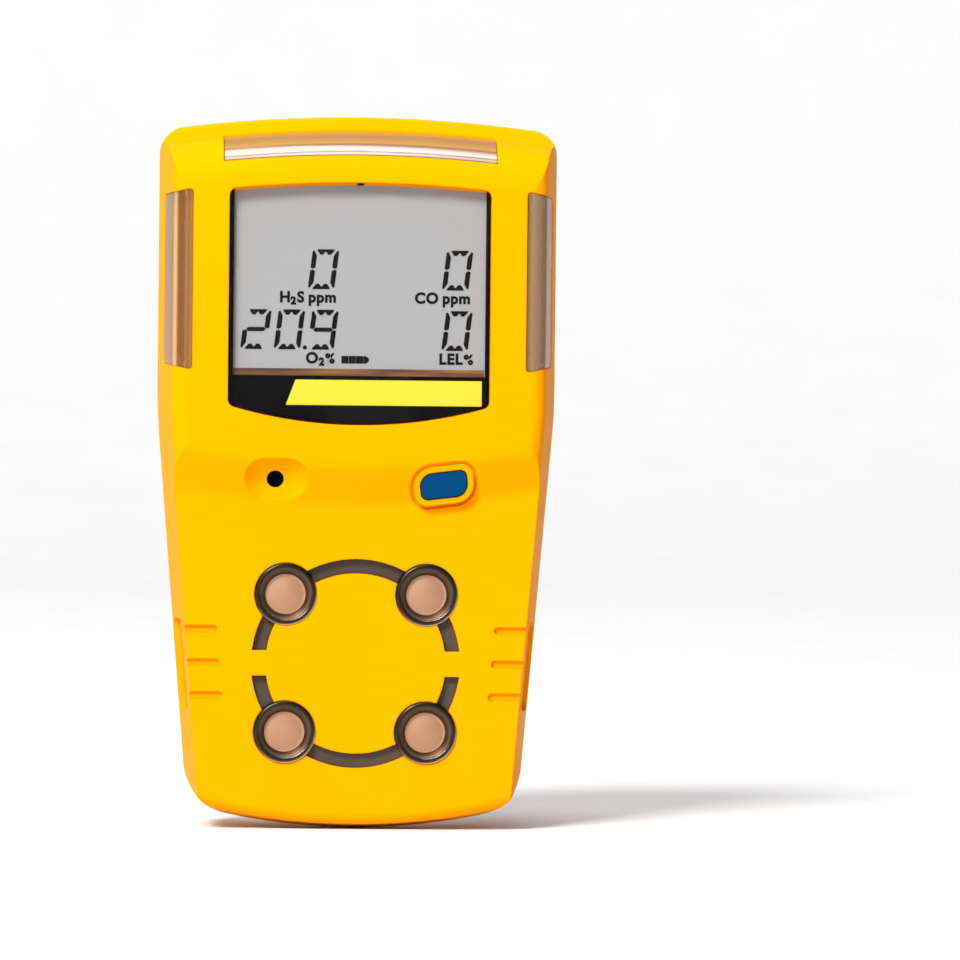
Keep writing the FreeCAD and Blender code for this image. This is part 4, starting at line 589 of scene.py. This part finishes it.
words("unit_hydrogen_sulphide", [("H", 0, 1), ("2", SUNK, SMALL), ("S ", 0, 1), ("ppm", 0, 1)],
      LEFT + 0.3, UPPER_UNITS, UNIT_SIZE)
words("unit_carbon_monoxide", [("CO ", 0, 1), ("ppm", 0, 1)],
      RIGHT + 0.3, UPPER_UNITS, UNIT_SIZE)
words("unit_oxygen", [("O", 0, 1), ("2", SUNK, SMALL), ("%", 0, PERCENT)],
      LEFT + 0.2, LOWER_UNITS, UNIT_SIZE)
words("unit_explosive_limit", [("LEL", 0, 1), ("%", 0, PERCENT)],
      RIGHT + 0.9, LOWER_UNITS, UNIT_SIZE)

# The moulding mark at the top of the window, the printed stripe and the display's lower edge.
mask_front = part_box("display_mask")[0].y / MM
window_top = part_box("display_window")[1].z / MM
MARK_HALF_FOOT, MARK_HALF_TOP = 0.6, 0.5
MARK_FOOT, MARK_TOP = window_top - 0.35, window_top - 0.02
mark = bmesh.new()
plate(mark, [(-MARK_HALF_FOOT, MARK_FOOT), (MARK_HALF_FOOT, MARK_FOOT),
             (MARK_HALF_TOP, MARK_TOP), (-MARK_HALF_TOP, MARK_TOP)],
      mask_front + 0.02, mask_front + 0.12)
piece("window_gate_mark", mark, looks["black_mask"], "case")

STRIPE_FOOT, STRIPE_TOP, STRIPE_RIGHT = 67.15, 71.15, 19.45
STRIPE_LEFT_FOOT, STRIPE_LEFT_TOP = -11.5, -10.0
STRIPE_THICK = 0.03
stripe = bmesh.new()
plate(stripe, [(STRIPE_LEFT_FOOT, STRIPE_FOOT), (STRIPE_RIGHT, STRIPE_FOOT),
               (STRIPE_RIGHT, STRIPE_TOP), (STRIPE_LEFT_TOP, STRIPE_TOP)],
      mask_front - STRIPE_THICK, mask_front)
stripe_ink = moulded("yellow_print", (0.6, 0.53, 0.03), (0.57, 0.5, 0.02), rough=0.4, grain=0.02)
piece("label_stripe", stripe, stripe_ink, "case")

bronze = streaked("display_lower_edge", (0.42, 0.16, 0.03), (0.2, 0.075, 0.015),
                  (0.05, 0.02, 0.008))
EDGE_HALF, EDGE_FOOT, EDGE_TOP, EDGE_THICK = 19.8, 71.8, 72.9, 0.06
edge = bmesh.new()
plate(edge, [(-EDGE_HALF, EDGE_FOOT), (EDGE_HALF, EDGE_FOOT),
             (EDGE_HALF, EDGE_TOP), (-EDGE_HALF, EDGE_TOP)],
      glass_front - EDGE_THICK, glass_front)
piece("display_lower_edge", edge, bronze, "case")


# ------------------------------------------------------------------ camera, light and floor
scene.view_settings.view_transform = "Standard"

VIEW_WIDTH = 152.8 * MM
DISTANCE = 1.3
AZIMUTH, ELEVATION, ROLL = math.radians(-3.2), math.radians(1.0), math.radians(0.6)
AIM_HEIGHT, AIM_RIGHT = 0.0554, 0.01986
back = Vector((math.sin(AZIMUTH) * math.cos(ELEVATION),
               -math.cos(AZIMUTH) * math.cos(ELEVATION), math.sin(ELEVATION)))
right = Vector((math.cos(AZIMUTH), math.sin(AZIMUTH), 0))
target = Vector((0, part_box("front_shell")[1].y, AIM_HEIGHT)) + right * AIM_RIGHT

lens = bpy.data.cameras.new("camera")
lens.sensor_width = 36
lens.lens = lens.sensor_width * DISTANCE / VIEW_WIDTH
lens.clip_start, lens.clip_end = 0.05, 20
camera = bpy.data.objects.new("camera", lens)
camera.rotation_mode = "QUATERNION"
camera.location = target + back * DISTANCE
camera.rotation_quaternion = ((-back).to_track_quat("-Z", "Y")
                              @ Matrix.Rotation(ROLL, 3, "Z").to_quaternion())
scene.collection.objects.link(camera)
scene.camera = camera


def softbox(name, place, aim, size, power):
    """A rectangular lamp at place that shines towards aim; power is in watts."""
    light = bpy.data.lights.new(name, "AREA")
    light.shape = "RECTANGLE"
    light.size, light.size_y = size
    light.energy = power
    lamp = bpy.data.objects.new(name, light)
    lamp.location = place
    lamp.rotation_mode = "QUATERNION"
    lamp.rotation_quaternion = (Vector(aim) - Vector(place)).to_track_quat("-Z", "Y")
    scene.collection.objects.link(lamp)


softbox("key", (-0.55, -0.95, 0.95), (0, 0, 0.06), (0.45, 0.45), power=31.0)
softbox("front", (-0.4, -1.6, 0.35), (0, 0, 0.05), (0.6, 0.6), power=3.0)
softbox("top", (-0.1, -0.15, 1.0), (0, 0, 0.1), (0.6, 0.35), power=5.0)
softbox("backdrop_left", (-0.9, 0.7, 1.3), (-0.4, 2.2, 0.4), (0.6, 0.4), power=13.0)
softbox("backdrop_right", (0.9, 0.7, 1.3), (0.5, 2.2, 0.4), (0.6, 0.4), power=13.0)

world = bpy.data.worlds.new("studio")
scene.world = world
world.use_nodes = True
sky = world.node_tree.nodes["Background"]
sky.inputs["Color"].default_value = (1, 1, 1, 1)
sky.inputs["Strength"].default_value = 0.12

# The floor runs back and sweeps up into a backdrop; it lies a hair below the object.
FLOOR_HALF, FLOOR_FRONT, FLOOR_DROP = 3.0, -2.0, 0.00002
SWEEP_START, SWEEP_RADIUS, SWEEP_STEPS, BACKDROP_TOP = 1.2, 0.8, 8, 3.0
profile = [(FLOOR_FRONT, 0.0), (SWEEP_START, 0.0)]
for i in range(1, SWEEP_STEPS + 1):
    turn = math.radians(90 * i / SWEEP_STEPS)
    profile.append((SWEEP_START + SWEEP_RADIUS * math.sin(turn),
                    SWEEP_RADIUS * (1 - math.cos(turn))))
profile.append((SWEEP_START + SWEEP_RADIUS, BACKDROP_TOP))
floor_bm = bmesh.new()
rows = [[floor_bm.verts.new((x, y, z - FLOOR_DROP)) for y, z in profile]
        for x in (-FLOOR_HALF, FLOOR_HALF)]
for i in range(len(profile) - 1):
    floor_bm.faces.new((rows[0][i], rows[1][i], rows[1][i + 1], rows[0][i + 1]))
floor_mesh = bpy.data.meshes.new("floor")
floor_bm.to_mesh(floor_mesh)
floor_bm.free()
for face in floor_mesh.polygons:
    face.use_smooth = True
floor_mesh.materials.append(moulded("paper_floor", (0.76, 0.76, 0.76), (0.74, 0.74, 0.74),
                                    rough=0.8))
floor = bpy.data.objects.new("floor", floor_mesh)
scene.collection.objects.link(floor)
